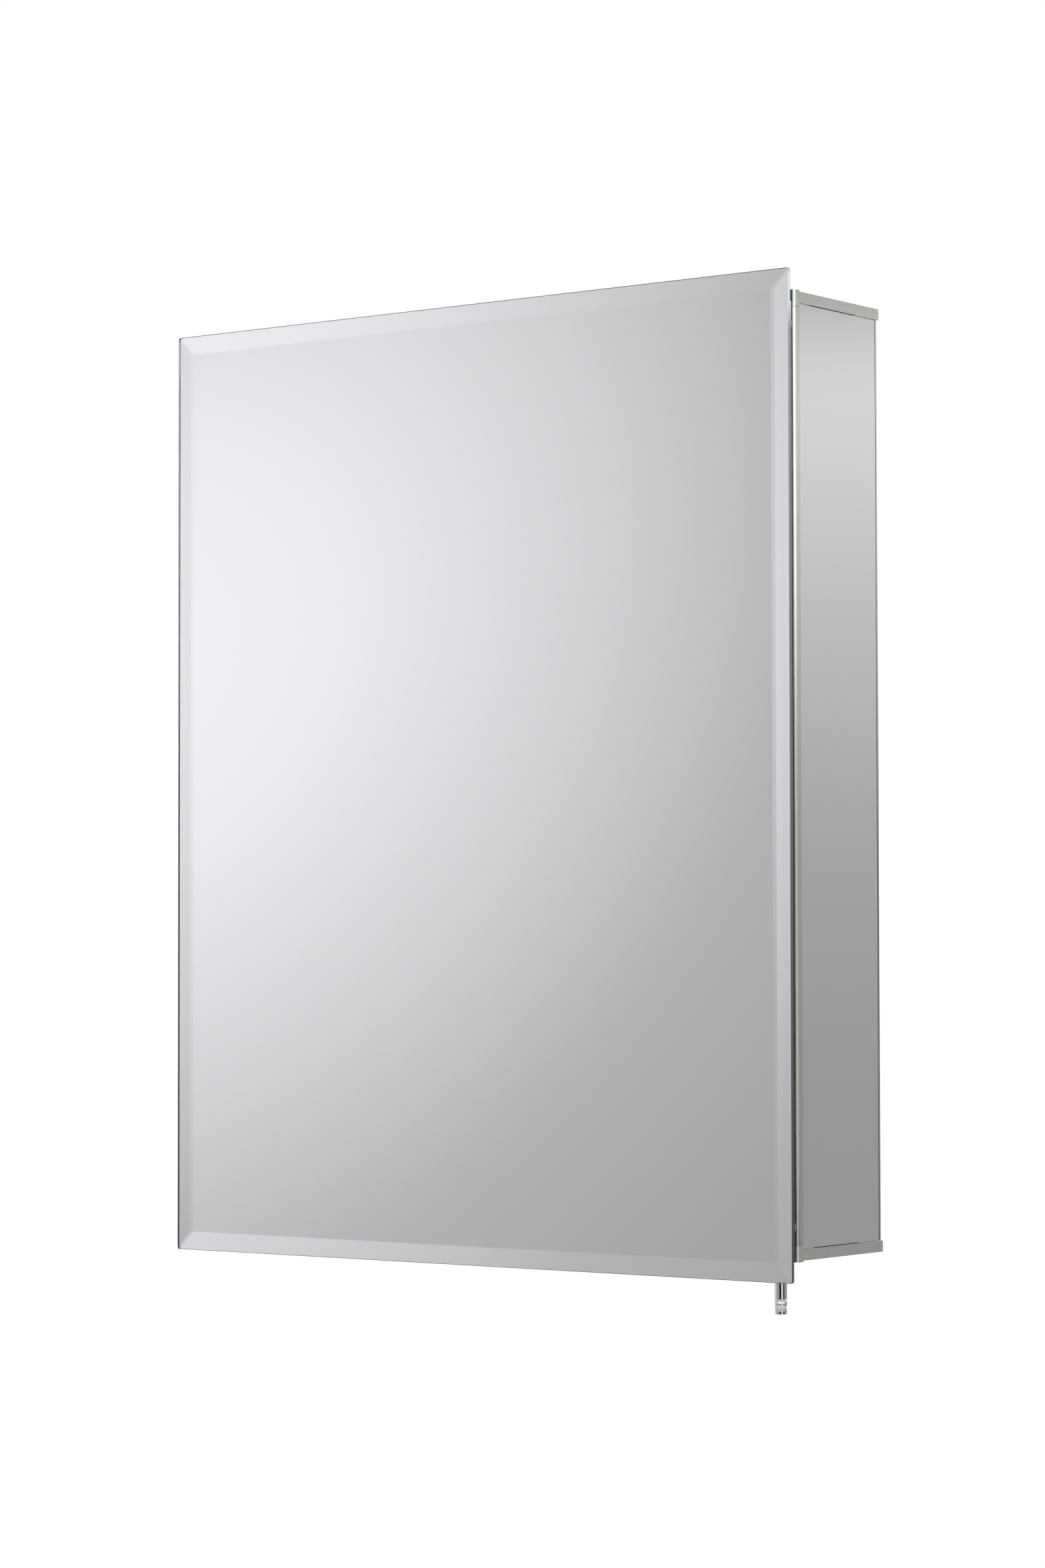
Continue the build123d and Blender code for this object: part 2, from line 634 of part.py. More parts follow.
def door_rail(top):
    """The upper or lower bar of the door's frame, between the stiles."""
    edge = PANEL_TOP if top else PANEL_BOTTOM
    inner = edge - FRAME_BAR if top else edge + FRAME_BAR
    reach = PANEL_X - FRAME_BAR
    return block((-reach, reach), (GLASS_BACK, CORE_BACK), (edge, inner))


def door_core():
    """The flat board that fills the door's frame."""
    reach = PANEL_X - FRAME_BAR
    height = (PANEL_BOTTOM + FRAME_BAR, PANEL_TOP - FRAME_BAR)
    return block((-reach, reach), (GLASS_BACK, CORE_BACK), height)


def inner_mirror():
    """The mirror on the inside of the door."""
    return block((-PANEL_X, PANEL_X), (CORE_BACK, DOOR_BACK), (PANEL_BOTTOM, PANEL_TOP))


def bracket_screw_places():
    """The two x places of a bracket's screws in the end of the left stile."""
    return [-PANEL_X + FRAME_BAR / 4, -PANEL_X + FRAME_BAR * 3 / 4]


def pivot_tab_z(top):
    """The (inner, outer) heights of a pivot bracket's tab."""
    if top:
        inner = BODY_TOP + NOSE_RISE + BUSH_FLANGE_T + THRUST_PLAY
        return inner, inner + BRACKET_T
    inner = BODY_BOTTOM - NOSE_RISE - BUSH_FLANGE_T - LOWER_PLAY
    return inner, inner - BRACKET_T


def pivot_bracket(top):
    """A Z-shaped bracket on the end of the left stile, hidden behind the glass."""
    end, sign = (PANEL_TOP, 1) if top else (PANEL_BOTTOM, -1)
    inner, outer = pivot_tab_z(top)
    x = (-PANEL_X, -PANEL_X + BRACKET_WIDTH)
    tab_x = (-AXIS_X - TAB_R, x[1])
    web = (DOOR_BACK - SEAM - BRACKET_T, DOOR_BACK - SEAM)
    shape = block(x, (GLASS_BACK, web[1]), (end, end + sign * BRACKET_FOOT_T))
    shape += block(x, web, (end, outer))
    shape += block(tab_x, (web[0], AXIS_Y), (inner, outer))
    shape += block((-AXIS_X, x[1]), (AXIS_Y, AXIS_Y + TAB_R), (inner, outer))
    shape += upright(-AXIS_X, AXIS_Y, (inner, outer), TAB_R)
    shape -= upright(-AXIS_X, AXIS_Y, (inner, outer), PIN_R)
    for place in bracket_screw_places():
        shape -= upright(place, CORE_MIDDLE, (end, end + sign * BRACKET_FOOT_T), BRACKET_SCREW_R)
    return shape


def pivot_pin(top):
    """The steel pin riveted in a bracket's tab, running in the bush."""
    sign = 1 if top else -1
    inner, outer = pivot_tab_z(top)
    seat = (BODY_TOP if top else BODY_BOTTOM) + sign * NOSE_RISE
    shape = upright(-AXIS_X, AXIS_Y, (outer, seat - sign * (BUSH_LENGTH - BORE_SPARE)), PIN_R)
    return shape + upright(-AXIS_X, AXIS_Y, (outer, outer + sign * PIN_HEAD_T), PIN_HEAD_R)


def bracket_screws():
    """Pan-head screws through the feet of the pivot brackets."""
    screws = []
    for end, sign in ((PANEL_TOP, 1), (PANEL_BOTTOM, -1)):
        seat = end + sign * BRACKET_FOOT_T
        head = (seat, seat + sign * BRACKET_SCREW_HEAD_H)
        for place in bracket_screw_places():
            shank = (seat, end - sign * BRACKET_SCREW_LENGTH)
            screw = upright(place, CORE_MIDDLE, shank, BRACKET_SCREW_R)
            screws.append(screw + upright(place, CORE_MIDDLE, head, BRACKET_SCREW_HEAD_R))
    return group(screws)


def door_bumpers():
    """Soft round bumpers on the door's rear face, in front of the right-hand bead."""
    rear = AXIS_Y - BEAD_R - BUMPER_PLAY
    x = PANEL_X - BUMPER_R - BUMPER_INSET
    levels = (PANEL_BOTTOM + BUMPER_FROM_END, PANEL_TOP - BUMPER_FROM_END)
    return group(level(x, (DOOR_BACK, rear), z, BUMPER_R) for z in levels)


def handle_plate_screw_places():
    """The two x places of the screws that hold the handle's plate."""
    return [ROD_X - HANDLE_PLATE_INNER + place for place in HANDLE_PLATE_SCREWS]


def handle_plate():
    """The plate under the door's lower rail that carries the pull rod."""
    top = PANEL_BOTTOM
    low = top - HANDLE_PLATE_T
    x = (ROD_X - HANDLE_PLATE_INNER, ROD_X + HANDLE_PLATE_OUTER)
    shape = block(x, (GLASS_BACK, ROD_Y + ROD_R), (low, top))
    shape -= handle_screw_head()
    shape -= upright(ROD_X, ROD_Y, (low, top), HANDLE_SCREW_R)
    for place in handle_plate_screw_places():
        shape -= upright(place, CORE_MIDDLE, (low, top), BRACKET_SCREW_R)
    return shape


def handle_plate_screws():
    """Pan-head screws up through the handle's plate."""
    low = PANEL_BOTTOM - HANDLE_PLATE_T
    screws = []
    for place in handle_plate_screw_places():
        screw = upright(place, CORE_MIDDLE, (low, PANEL_BOTTOM + BRACKET_SCREW_LENGTH), BRACKET_SCREW_R)
        head = (low - BRACKET_SCREW_HEAD_H, low)
        screws.append(screw + upright(place, CORE_MIDDLE, head, BRACKET_SCREW_HEAD_R))
    return group(screws)


def handle_screw_head():
    """The countersunk head in the top of the handle's plate."""
    top = PANEL_BOTTOM
    cone = [(0, top), (HANDLE_SCREW_HEAD_R, top), (HANDLE_SCREW_R, top - HANDLE_SCREW_HEAD_H)]
    return turned(ROD_X, ROD_Y, [*cone, (0, top - HANDLE_SCREW_HEAD_H)])


def handle_screw():
    """The screw down through the plate into the rod."""
    tip = PANEL_BOTTOM - HANDLE_PLATE_T - HANDLE_SCREW_GRIP
    shank = upright(ROD_X, ROD_Y, (PANEL_BOTTOM - HANDLE_SCREW_LAP, tip), HANDLE_SCREW_R)
    return handle_screw_head() + shank


def handle_rod():
    """The hanging pull rod, with two round grooves near its slightly tapered tip."""
    tip = DOOR_BOTTOM - ROD_DROP
    top = PANEL_BOTTOM - HANDLE_PLATE_T
    lower, upper = (tip + groove for groove in ROD_GROOVES)
    half = ROD_GROOVE_HALF
    with BuildPart() as rod:
        with BuildSketch(Plane.XZ):
            with BuildLine():
                foot = (ROD_TIP_R, tip + ROD_TIP_CHAMFER)
                Polyline((0, tip), (ROD_WAIST_R, tip), foot, (ROD_TIP_R, lower - half))
                ThreePointArc((ROD_TIP_R, lower - half), (ROD_WAIST_R, lower), (ROD_TIP_R, lower + half))
                middle = (lower + upper) / 2
                ThreePointArc((ROD_TIP_R, lower + half), (ROD_R, middle), (ROD_TIP_R, upper - half))
                ThreePointArc((ROD_TIP_R, upper - half), (ROD_WAIST_R, upper), (ROD_R, upper + half))
                Polyline((ROD_R, upper + half), (ROD_R, top), (0, top), (0, tip))
            make_face()
        revolve(axis=Axis.Z)
    shape = Pos(ROD_X, ROD_Y, 0) * rod.part
    return shape - upright(ROD_X, ROD_Y, (top, top - HANDLE_SCREW_GRIP), HANDLE_SCREW_R)


# --- Shelves ------------------------------------------------------------------------------------
def shelf_height(index):
    """The underside of a shelf, counted from the bottom one."""
    return INSIDE_BOTTOM + SHELF_PITCH * (index + 1)


def shelf_glass(index):
    """One glass shelf with rounded corners."""
    z = shelf_height(index)
    middle = (SHELF_FRONT + SHELF_REAR) / 2
    outline = RectangleRounded(2 * SHELF_X, SHELF_REAR - SHELF_FRONT, SHELF_CORNER_R)
    return Pos(0, middle, z) * extrude(outline, amount=SHELF_T)


def shelf_clip(index, y):
    """A right-hand clip: a jaw round the shelf's end, a neck and a tail that slides in the track."""
    z = shelf_height(index)
    height = (z - CLIP_BELOW, z + CLIP_ABOVE)
    mouth = TRACK_W / 2 - TRACK_T - TRACK_LIP - CLIP_PLAY
    room = TRACK_W / 2 - TRACK_T - CLIP_PLAY
    lips_back = TRACK_IN + TRACK_T + CLIP_PLAY
    jaw = (SHELF_X - CLIP_GRIP, TRACK_IN - CLIP_PLAY)
    shape = block(jaw, (y - CLIP_W / 2, y + CLIP_W / 2), height)
    shape -= block((jaw[0], SHELF_X), (y - CLIP_W / 2, y + CLIP_W / 2), (z, z + SHELF_T))
    shape += block((jaw[1] - CLIP_LAP, lips_back + CLIP_LAP), (y - mouth, y + mouth), height)
    return shape + block((lips_back, lips_back + CLIP_TAIL_T), (y - room, y + room), height)


def shelf_clips(index):
    """The four clips of one shelf."""
    clips = []
    for y in (TRACK_FRONT_Y, TRACK_REAR_Y):
        clips += both_sides(shelf_clip(index, y))
    return group(clips)


# --- All nodes ----------------------------------------------------------------------------------
def case_nodes():
    """Every piece that stays on the wall."""
    nodes = {"top_cap": cap(True), "bottom_cap": cap(False)}
    nodes["top_cap_screws"] = cap_screws(True)
    nodes["bottom_cap_screws"] = cap_screws(False)
    nodes["front_post_right"] = right_front_post()
    nodes["front_post_left"] = front_post().mirror(Plane.YZ)
    nodes["rear_post_right"], nodes["rear_post_left"] = both_sides(rear_post())
    nodes["side_sheet_right"], nodes["side_sheet_left"] = both_sides(side_sheet())
    for place, y in (("front", TRACK_FRONT_Y), ("rear", TRACK_REAR_Y)):
        right, left = both_sides(shelf_track(y))
        nodes[f"shelf_track_{place}_right"] = right
        nodes[f"shelf_track_{place}_left"] = left
    nodes["track_screws"] = track_screws()
    nodes["back_panel"] = back_panel()
    nodes["back_panel_rivets"] = back_panel_rivets()
    nodes["back_mirror"] = back_mirror()
    nodes["hanger_rail"] = hanger_rail()
    nodes["spacer_rail"] = spacer_rail()
    nodes["rail_rivets"] = rail_rivets()
    nodes["wall_rail"] = wall_rail()
    for name, upper in (("upper", True), ("lower", False)):
        nodes[f"{name}_pivot_bush"] = pivot_bush(upper)
        nodes[f"{name}_catch_housing"] = catch_housing(upper)
        nodes[f"{name}_catch_magnet"] = block(*catch_box(upper)[1])
    nodes["catch_screws"] = catch_screws()
    return nodes


def door_nodes():
    """Every piece that swings with the door."""
    left_stile, right_stile = door_stiles()
    nodes = {
        "door_glass": door_glass(),
        "door_stile_left": left_stile,
        "door_stile_right": right_stile,
        "door_rail_top": door_rail(True),
        "door_rail_bottom": door_rail(False),
        "door_core": door_core(),
        "inner_mirror": inner_mirror(),
        "bracket_screws": bracket_screws(),
        "door_bumpers": door_bumpers(),
        "handle_plate": handle_plate(),
        "handle_plate_screws": handle_plate_screws(),
        "handle_screw": handle_screw(),
        "handle_rod": handle_rod(),
    }
    for name, upper in (("upper", True), ("lower", False)):
        nodes[f"{name}_pivot_bracket"] = pivot_bracket(upper)
        nodes[f"{name}_pivot_pin"] = pivot_pin(upper)
        nodes[f"{name}_strike"] = strike(upper)
    return nodes


def shelf_nodes():
    """The glass shelves and their clips."""
    nodes = {}
    for index in range(SHELF_COUNT):
        nodes[f"shelf_{index + 1}"] = shelf_glass(index)
        nodes[f"shelf_{index + 1}_clips"] = shelf_clips(index)
    return nodes


def main():
    """Writes each node to its own STEP file."""
    os.makedirs("parts", exist_ok=True)
    for name, shape in {**case_nodes(), **door_nodes(), **shelf_nodes()}.items():
        export_step(shape, f"parts/{name}.step")


if __name__ == "__main__":
    main()
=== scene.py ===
"""Wall-hung medicine cabinet: its finishes, its detailed pieces, the studio and the camera.

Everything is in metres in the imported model's own frame: +X to the right of a person facing the
cabinet, +Y into the wall, +Z up, with the origin on the wall rail.
"""

import logging
import math
from dataclasses import dataclass
from enum import Enum

import bmesh
import bpy
import numpy as np
from mathutils import Matrix, Vector


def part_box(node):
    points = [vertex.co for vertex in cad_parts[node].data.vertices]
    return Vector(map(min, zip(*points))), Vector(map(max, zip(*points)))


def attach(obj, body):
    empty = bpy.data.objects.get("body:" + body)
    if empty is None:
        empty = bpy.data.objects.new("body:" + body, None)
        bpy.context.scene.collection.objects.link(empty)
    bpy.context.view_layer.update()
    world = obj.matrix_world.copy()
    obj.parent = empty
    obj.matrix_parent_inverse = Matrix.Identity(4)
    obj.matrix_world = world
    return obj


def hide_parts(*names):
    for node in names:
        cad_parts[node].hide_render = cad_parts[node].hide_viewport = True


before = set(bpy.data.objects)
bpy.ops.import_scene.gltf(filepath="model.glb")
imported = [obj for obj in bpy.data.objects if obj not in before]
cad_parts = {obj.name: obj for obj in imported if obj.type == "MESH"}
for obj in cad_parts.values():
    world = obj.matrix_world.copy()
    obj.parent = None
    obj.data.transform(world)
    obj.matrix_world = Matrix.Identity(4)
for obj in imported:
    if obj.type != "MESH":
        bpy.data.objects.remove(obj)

bpy.context.view_layer.update()
LOG = logging.getLogger("cabinet")
MM = 0.001


# --- Small tools ------------------------------------------------------------------------------
def linear(hex_colour: str, alpha: float = 1.0) -> tuple[float, float, float, float]:
    """Turns an sRGB hex value to linear light.

    Args:
        hex_colour: six hex digits, red first.
        alpha: the fourth number.

    Returns:
        Linear red, green, blue and alpha.
    """
    channels = [int(hex_colour[i : i + 2], 16) / 255 for i in (0, 2, 4)]
    light = [c / 12.92 if c <= 0.04045 else ((c + 0.055) / 1.055) ** 2.4 for c in channels]
    return (*light, alpha)


def add_node(tree: bpy.types.NodeTree, kind: str, inputs: dict | None = None, **settings) -> bpy.types.Node:
    """Adds one shader node.

    Args:
        tree: the node tree to add to.
        kind: the node's class name after "ShaderNode".
        inputs: socket name or number to a value, or to the output socket that feeds it.
        **settings: the node's own properties.

    Returns:
        The new node.
    """
    node = tree.nodes.new("ShaderNode" + kind)
    for name, value in settings.items():
        setattr(node, name, value)
    for name, value in (inputs or {}).items():
        if isinstance(value, bpy.types.NodeSocket):
            tree.links.new(value, node.inputs[name])
        else:
            node.inputs[name].default_value = value
    return node


def set_ramp(node: bpy.types.Node, stops: list[tuple[float, float]]) -> None:
    """Gives a colour ramp grey stops, with straight lines between them.

    Args:
        node: the ramp.
        stops: (position, linear grey), in rising order.
    """
    ramp = node.color_ramp
    ramp.interpolation = "LINEAR"
    while len(ramp.elements) < len(stops):
        ramp.elements.new(1.0)
    for element, (position, grey) in zip(ramp.elements, stops):
        element.position = position
        element.color = (grey, grey, grey, 1.0)


# --- Finishes ---------------------------------------------------------------------------------
class Grain(Enum):
    """Which way a finish's fine marks run."""

    NONE = (1.0, 1.0, 1.0)
    ALONG_X = (0.02, 1.0, 1.0)
    ALONG_Z = (1.0, 1.0, 0.02)


@dataclass(frozen=True)
class Finish:
    """A surface with a base colour, a gloss and one fine random pattern.

    The pattern is fractal noise on the piece's own coordinates. It varies the colour and the
    roughness a little and raises a shallow relief.
    """

    name: str
    colour: str
    roughness: float
    metallic: float = 0.0
    pattern_mm: float = 1.0
    grain: Grain = Grain.NONE
    colour_swing: float = 0.04
    roughness_swing: float = 0.05
    relief_mm: float = 0.004
    specular: float = 0.5

    def make(self) -> bpy.types.Material:
        """Builds the material.

        Returns:
            The node-based material.
        """
        material = bpy.data.materials.new(self.name)
        material.use_nodes = True
        tree = material.node_tree
        tree.nodes.clear()
        shader = add_node(tree, "BsdfPrincipled")
        shader.inputs["Metallic"].default_value = self.metallic
        shader.inputs["Specular IOR Level"].default_value = self.specular
        self.pattern(tree, shader)
        add_node(tree, "OutputMaterial", {"Surface": shader.outputs[0]})
        material.diffuse_color = linear(self.colour)
        return material

    def noise(self, tree: bpy.types.NodeTree, size_mm: float, detail: float = 4.0) -> bpy.types.NodeSocket:
        """Adds the finish's noise at one size.

        Args:
            tree: the material's nodes.
            size_mm: the spacing of the marks across the grain.
            detail: how many finer octaves are added.

        Returns:
            The noise's factor socket.
        """
        place = add_node(tree, "TexCoord")
        scale = [axis / (size_mm * MM) for axis in self.grain.value]
        mapped = add_node(tree, "Mapping", {"Vector": place.outputs["Object"], "Scale": scale})
        noise = add_node(tree, "TexNoise", {"Vector": mapped.outputs[0], "Scale": 1.0, "Detail": detail})
        return noise.outputs["Fac"]

    def pattern(self, tree: bpy.types.NodeTree, shader: bpy.types.Node) -> None:
        """Joins the noise to the shader's colour, roughness and normal."""
        fine = self.noise(tree, self.pattern_mm)
        base = linear(self.colour)
        dark = tuple(c * (1 - self.colour_swing) for c in base[:3]) + (1.0,)
        pale = tuple(min(1.0, c * (1 + self.colour_swing)) for c in base[:3]) + (1.0,)
        colour = add_node(tree, "Mix", {0: fine, 6: dark, 7: pale}, data_type="RGBA")
        low, high = self.roughness - self.roughness_swing, self.roughness + self.roughness_swing
        rough = add_node(tree, "MapRange", {"Value": fine, "To Min": max(0.01, low), "To Max": high})
        bump = add_node(tree, "Bump", {"Height": fine, "Strength": 0.6, "Distance": self.relief_mm * MM})
        tree.links.new(colour.outputs[2], shader.inputs["Base Color"])
        tree.links.new(rough.outputs[0], shader.inputs["Roughness"])
        tree.links.new(bump.outputs[0], shader.inputs["Normal"])


@dataclass(frozen=True)
class Speckled(Finish):
    """A finish whose pattern is a fine sparkle of small cells over a slow cloudiness."""

    def pattern(self, tree: bpy.types.NodeTree, shader: bpy.types.Node) -> None:
        """Joins cells and clouds to the shader's colour, roughness and normal."""
        super().pattern(tree, shader)
        place = add_node(tree, "TexCoord")
        cells = add_node(
            tree, "TexVoronoi", {"Vector": place.outputs["Object"], "Scale": 1 / (self.pattern_mm * MM)}
        )
        mix = shader.inputs["Base Color"].links[0].from_node
        grey = add_node(tree, "RGBToBW", {"Color": cells.outputs["Color"]})
        swing = add_node(tree, "MapRange", {"Value": grey.outputs[0], "To Min": 0.92, "To Max": 1.06})
        lit = add_node(
            tree, "VectorMath", {0: mix.outputs[2], "Scale": swing.outputs[0]}, operation="SCALE"
        )
        tree.links.new(lit.outputs[0], shader.inputs["Base Color"])


@dataclass(frozen=True)
class Glassy(Finish):
    """Clear glass or plastic that light goes through, with an even gloss."""

    ior: float = 1.52

    def pattern(self, tree: bpy.types.NodeTree, shader: bpy.types.Node) -> None:
        """Sets the clear body's colour, IOR and roughness."""
        shader.inputs["Transmission Weight"].default_value = 1.0
        shader.inputs["IOR"].default_value = self.ior
        shader.inputs["Base Color"].default_value = linear(self.colour)
        shader.inputs["Roughness"].default_value = self.roughness


@dataclass(frozen=True)
class EdgePaintedLight(Finish):
    """The ground edge of a glass pane, with the light that falls on it graded into its colour.

    The base colour is multiplied by a curve of height, from (metres, linear grey) stops. This painted light
    and shade stands in for a room that is pale above and dark below; the glass itself has none.
    """

    stops: tuple[tuple[float, float], ...] = ((-0.7, 1.0), (0.08, 1.0))

    def pattern(self, tree: bpy.types.NodeTree, shader: bpy.types.Node) -> None:
        """Joins the painted light, a curve of height, and the fine grinding marks to the shader."""
        super().pattern(tree, shader)
        mix = shader.inputs["Base Color"].links[0].from_node
        place = add_node(tree, "TexCoord")
        split = add_node(tree, "SeparateXYZ", {0: place.outputs["Object"]})
        low, high = self.stops[0][0], self.stops[-1][0]
        height = add_node(tree, "MapRange", {"Value": split.outputs["Z"], "From Min": low, "From Max": high})
        ramp = add_node(tree, "ValToRGB", {"Fac": height.outputs[0]})
        set_ramp(ramp, [((z - low) / (high - low), grey) for z, grey in self.stops])
        lit = add_node(
            tree, "VectorMath", {0: mix.outputs[2], 1: ramp.outputs["Color"]}, operation="MULTIPLY"
        )
        tree.links.new(lit.outputs[0], shader.inputs["Base Color"])


@dataclass(frozen=True)
class Silvering(Finish):
    """The silver film behind mirror glass, with no visible texture of its own."""

    def pattern(self, tree: bpy.types.NodeTree, shader: bpy.types.Node) -> None:
        """Sets a plain bright metal."""
        shader.inputs["Base Color"].default_value = linear(self.colour)
        shader.inputs["Roughness"].default_value = self.roughness


# Anodised aluminium sheet: even satin with faint rolling lines up the panel.
SIDE_SHEET = Finish("satin_anodised_sheet", "f0f0f0", 0.14, 1.0, 0.5, Grain.ALONG_Z, 0.015, 0.02, 0.0006)
# Die-cast aluminium, bead-blasted then anodised: a dense fine sparkle.
CAP = Speckled("blasted_cast_aluminium", "e6e6e2", 0.20, 1.0, 0.7, Grain.NONE, 0.04, 0.05, 0.003)
# Bright-dipped extrusion: nearly mirror bright, with faint die lines along its length.
POST = Finish("bright_dipped_extrusion", "dddcd6", 0.09, 1.0, 0.4, Grain.ALONG_Z, 0.02, 0.02, 0.0006)
# Satin anodised extrusion: soft and even, with fine die lines up the channel.
TRACK = Finish("satin_anodised_extrusion", "d6d7d8", 0.34, 1.0, 0.4, Grain.ALONG_Z, 0.03, 0.04, 0.002)
# Mill-finish extrusion: duller and greyer, with plain die lines.
MILL = Finish("mill_finish_extrusion", "bfc1c4", 0.42, 1.0, 0.5, Grain.ALONG_X, 0.08, 0.08, 0.004)
# Anodised bar: the same satin, a shade greyer.
FRAME_BAR = Finish("anodised_frame_bar", "c0c2c3", 0.30, 1.0, 0.5, Grain.ALONG_Z, 0.04, 0.04, 0.002)
# Powder coat: soft orange-peel relief under a low gloss.
BACK_PAINT = Finish("pale_powder_coat", "dedfdf", 0.42, 0.0, 1.6, Grain.NONE, 0.01, 0.05, 0.02)
# Bright zinc plate: bluish, with cloudy patches.
ZINC = Speckled("bright_zinc_plate", "c3c7cb", 0.28, 1.0, 2.2, Grain.NONE, 0.06, 0.08, 0.003)
# Zinc-plated steel screws and rivets: small bluish glints.
FIXING = Finish("zinc_plated_screw", "c9ccd0", 0.24, 1.0, 0.6, Grain.NONE, 0.05, 0.06, 0.003)
# Natural nylon: milky cream with a low sheen.
NYLON = Finish("natural_nylon", "e8e4d8", 0.40, 0.0, 0.8, Grain.NONE, 0.02, 0.05, 0.004)
# Moulded ABS: pale grey with a fine spark-eroded grain.
ABS_GREY = Finish("moulded_abs", "d2d3d3", 0.45, 0.0, 0.35, Grain.NONE, 0.02, 0.06, 0.012)
# Sintered ferrite: near black and grainy, with little shine.
FERRITE = Finish("sintered_ferrite", "2a2a2b", 0.50, 0.2, 0.5, Grain.NONE, 0.15, 0.10, 0.010)
# Dense fibreboard: short pressed fibres of mixed browns.
FIBREBOARD = Finish("dense_fibreboard", "8a6a48", 0.75, 0.0, 0.6, Grain.NONE, 0.22, 0.08, 0.03)
# Silicone rubber: pale, soft-looking and slightly waxy.
SILICONE = Finish("translucent_silicone", "d9dad9", 0.35, 0.0, 0.8, Grain.NONE, 0.02, 0.04, 0.004, 0.4)
# Bright chrome over turned brass: a clean mirror with the faintest turning marks.
CHROME = Finish("bright_chrome_plate", "e9eaec", 0.035, 1.0, 0.25, Grain.NONE, 0.01, 0.01, 0.0002)
# Float glass over silver: clear and colourless from the front.
GLASS = Glassy("float_glass", "ffffff", 0.0)
# Tempered glass with polished edges: clear, faintly green.
SHELF = Glassy("tempered_glass", "eef7f2", 0.0)
# Clear polycarbonate: see-through but slightly hazed by its moulding.
CLEAR_PLASTIC = Glassy("clear_polycarbonate", "e6e9ea", 0.12, ior=1.58)
# Silvering: a perfect mirror, a trace cool.
SILVER = Silvering("mirror_silver", "f6f6fa", 0.0, 1.0)
# Ground and polished glass edge, faintly green, with painted light: painted shade darkens it to teal low
# down, graded up to a painted highlight near the top.
GLASS_EDGE_PAINTED_LIGHT = EdgePaintedLight(
    "polished_glass_edge", "e9f4f1", 0.18, 0.0, 0.3, Grain.NONE, 0.03, 0.05, 0.002,
    stops=((-0.686, 0.055), (-0.40, 0.12), (-0.075, 0.27), (0.030, 0.36), (0.050, 0.90), (0.0735, 0.95),
           (0.0755, 0.10), (0.077, 0.10)),
)
# Mirror backing paint: flat mid grey that hides the silver.
MIRROR_BACK = Finish("mirror_backing_paint", "6b6e70", 0.55, 0.0, 1.2, Grain.NONE, 0.04, 0.06, 0.008)

CAD_FINISHES = {
    "cap_metal": CAP,
    "post_metal": POST,
    "side_metal": SIDE_SHEET,
    "track_metal": TRACK,
    "mill_metal": MILL,
    "frame_metal": FRAME_BAR,
    "back_paint": BACK_PAINT,
    "nylon": NYLON,
    "catch_plastic": ABS_GREY,
    "ferrite": FERRITE,
    "zinc_steel": ZINC,
    "fixings": FIXING,
    "core_board": FIBREBOARD,
    "bumper_rubber": SILICONE,
    "rod_chrome": CHROME,
    "shelf_glass": SHELF,
    "clip_plastic": CLEAR_PLASTIC,
}


class Paintbox:
    """Makes each finish's material once and hands it out."""

    def __init__(self) -> None:
        """Starts with no materials made."""
        self.made: dict[str, bpy.types.Material] = {}

    def __getitem__(self, finish: Finish) -> bpy.types.Material:
        """Returns the finish's material, making it the first time."""
        if finish.name not in self.made:
            self.made[finish.name] = finish.make()
        return self.made[finish.name]


PAINT = Paintbox()


# --- Surfaces ---------------------------------------------------------------------------------
Shell = tuple[np.ndarray, list[list[int]]]


def ring_shell(rings: np.ndarray) -> Shell:
    """A closed shell: rings of points joined in order, with a face over each end.

    Args:
        rings: a (rings, around, 3) array of closed rings.

    Returns:
        The points as an (n, 3) array, and the faces as lists of point numbers. The two end faces
        come last: first the one on the first ring, then the one on the last.
    """
    count, around = rings.shape[:2]
    row = np.arange(count - 1)[:, None] * around
    here = np.arange(around)[None, :]
    after = (here + 1) % around
    quads = np.stack([row + here, row + after, row + around + after, row + around + here], -1)
    ends = [list(range(around)), list(range((count - 1) * around, count * around))]
    return rings.reshape(-1, 3), quads.reshape(-1, 4).tolist() + ends


def mesh_from(name: str, shells: list[Shell]) -> bpy.types.Mesh:
    """A mesh from closed shells, with doubled points merged and all faces turned outwards.

    Args:
        name: the mesh's name.
        shells: the closed shells.

    Returns:
        The mesh, in metres.
    """
    counts = np.cumsum([0] + [len(points) for points, _ in shells])
    faces = [[i + int(c) for i in face] for c, (_, parts) in zip(counts, shells) for face in parts]
    mesh = bpy.data.meshes.new(name)
    mesh.from_pydata(np.concatenate([points for points, _ in shells]), [], faces)
    shell = bmesh.new()
    shell.from_mesh(mesh)
    bmesh.ops.remove_doubles(shell, verts=shell.verts, dist=2e-6)
    bmesh.ops.recalc_face_normals(shell, faces=shell.faces)
    shell.to_mesh(mesh)
    shell.free()
    return mesh


def rounded_outline(half: np.ndarray, radius: float, steps: int = 6) -> np.ndarray:
    """A rectangle with round corners: each corner's centre plus the radius times (cos a, sin a).

    Args:
        half: half the width and half the height.
        radius: the corners' radius.
        steps: points along each corner.

    Returns:
        An (n, 2) array, anticlockwise.
    """
    turn = np.linspace(0, math.pi / 2, steps)
    start = np.arange(4)[:, None] * math.pi / 2
    signs = np.array([[1, 1], [-1, 1], [-1, -1], [1, -1]])
    centres = signs * (half - radius)
    bend = np.stack([np.cos(start + turn), np.sin(start + turn)], -1) * radius
    return (centres[:, None, :] + bend).reshape(-1, 2)


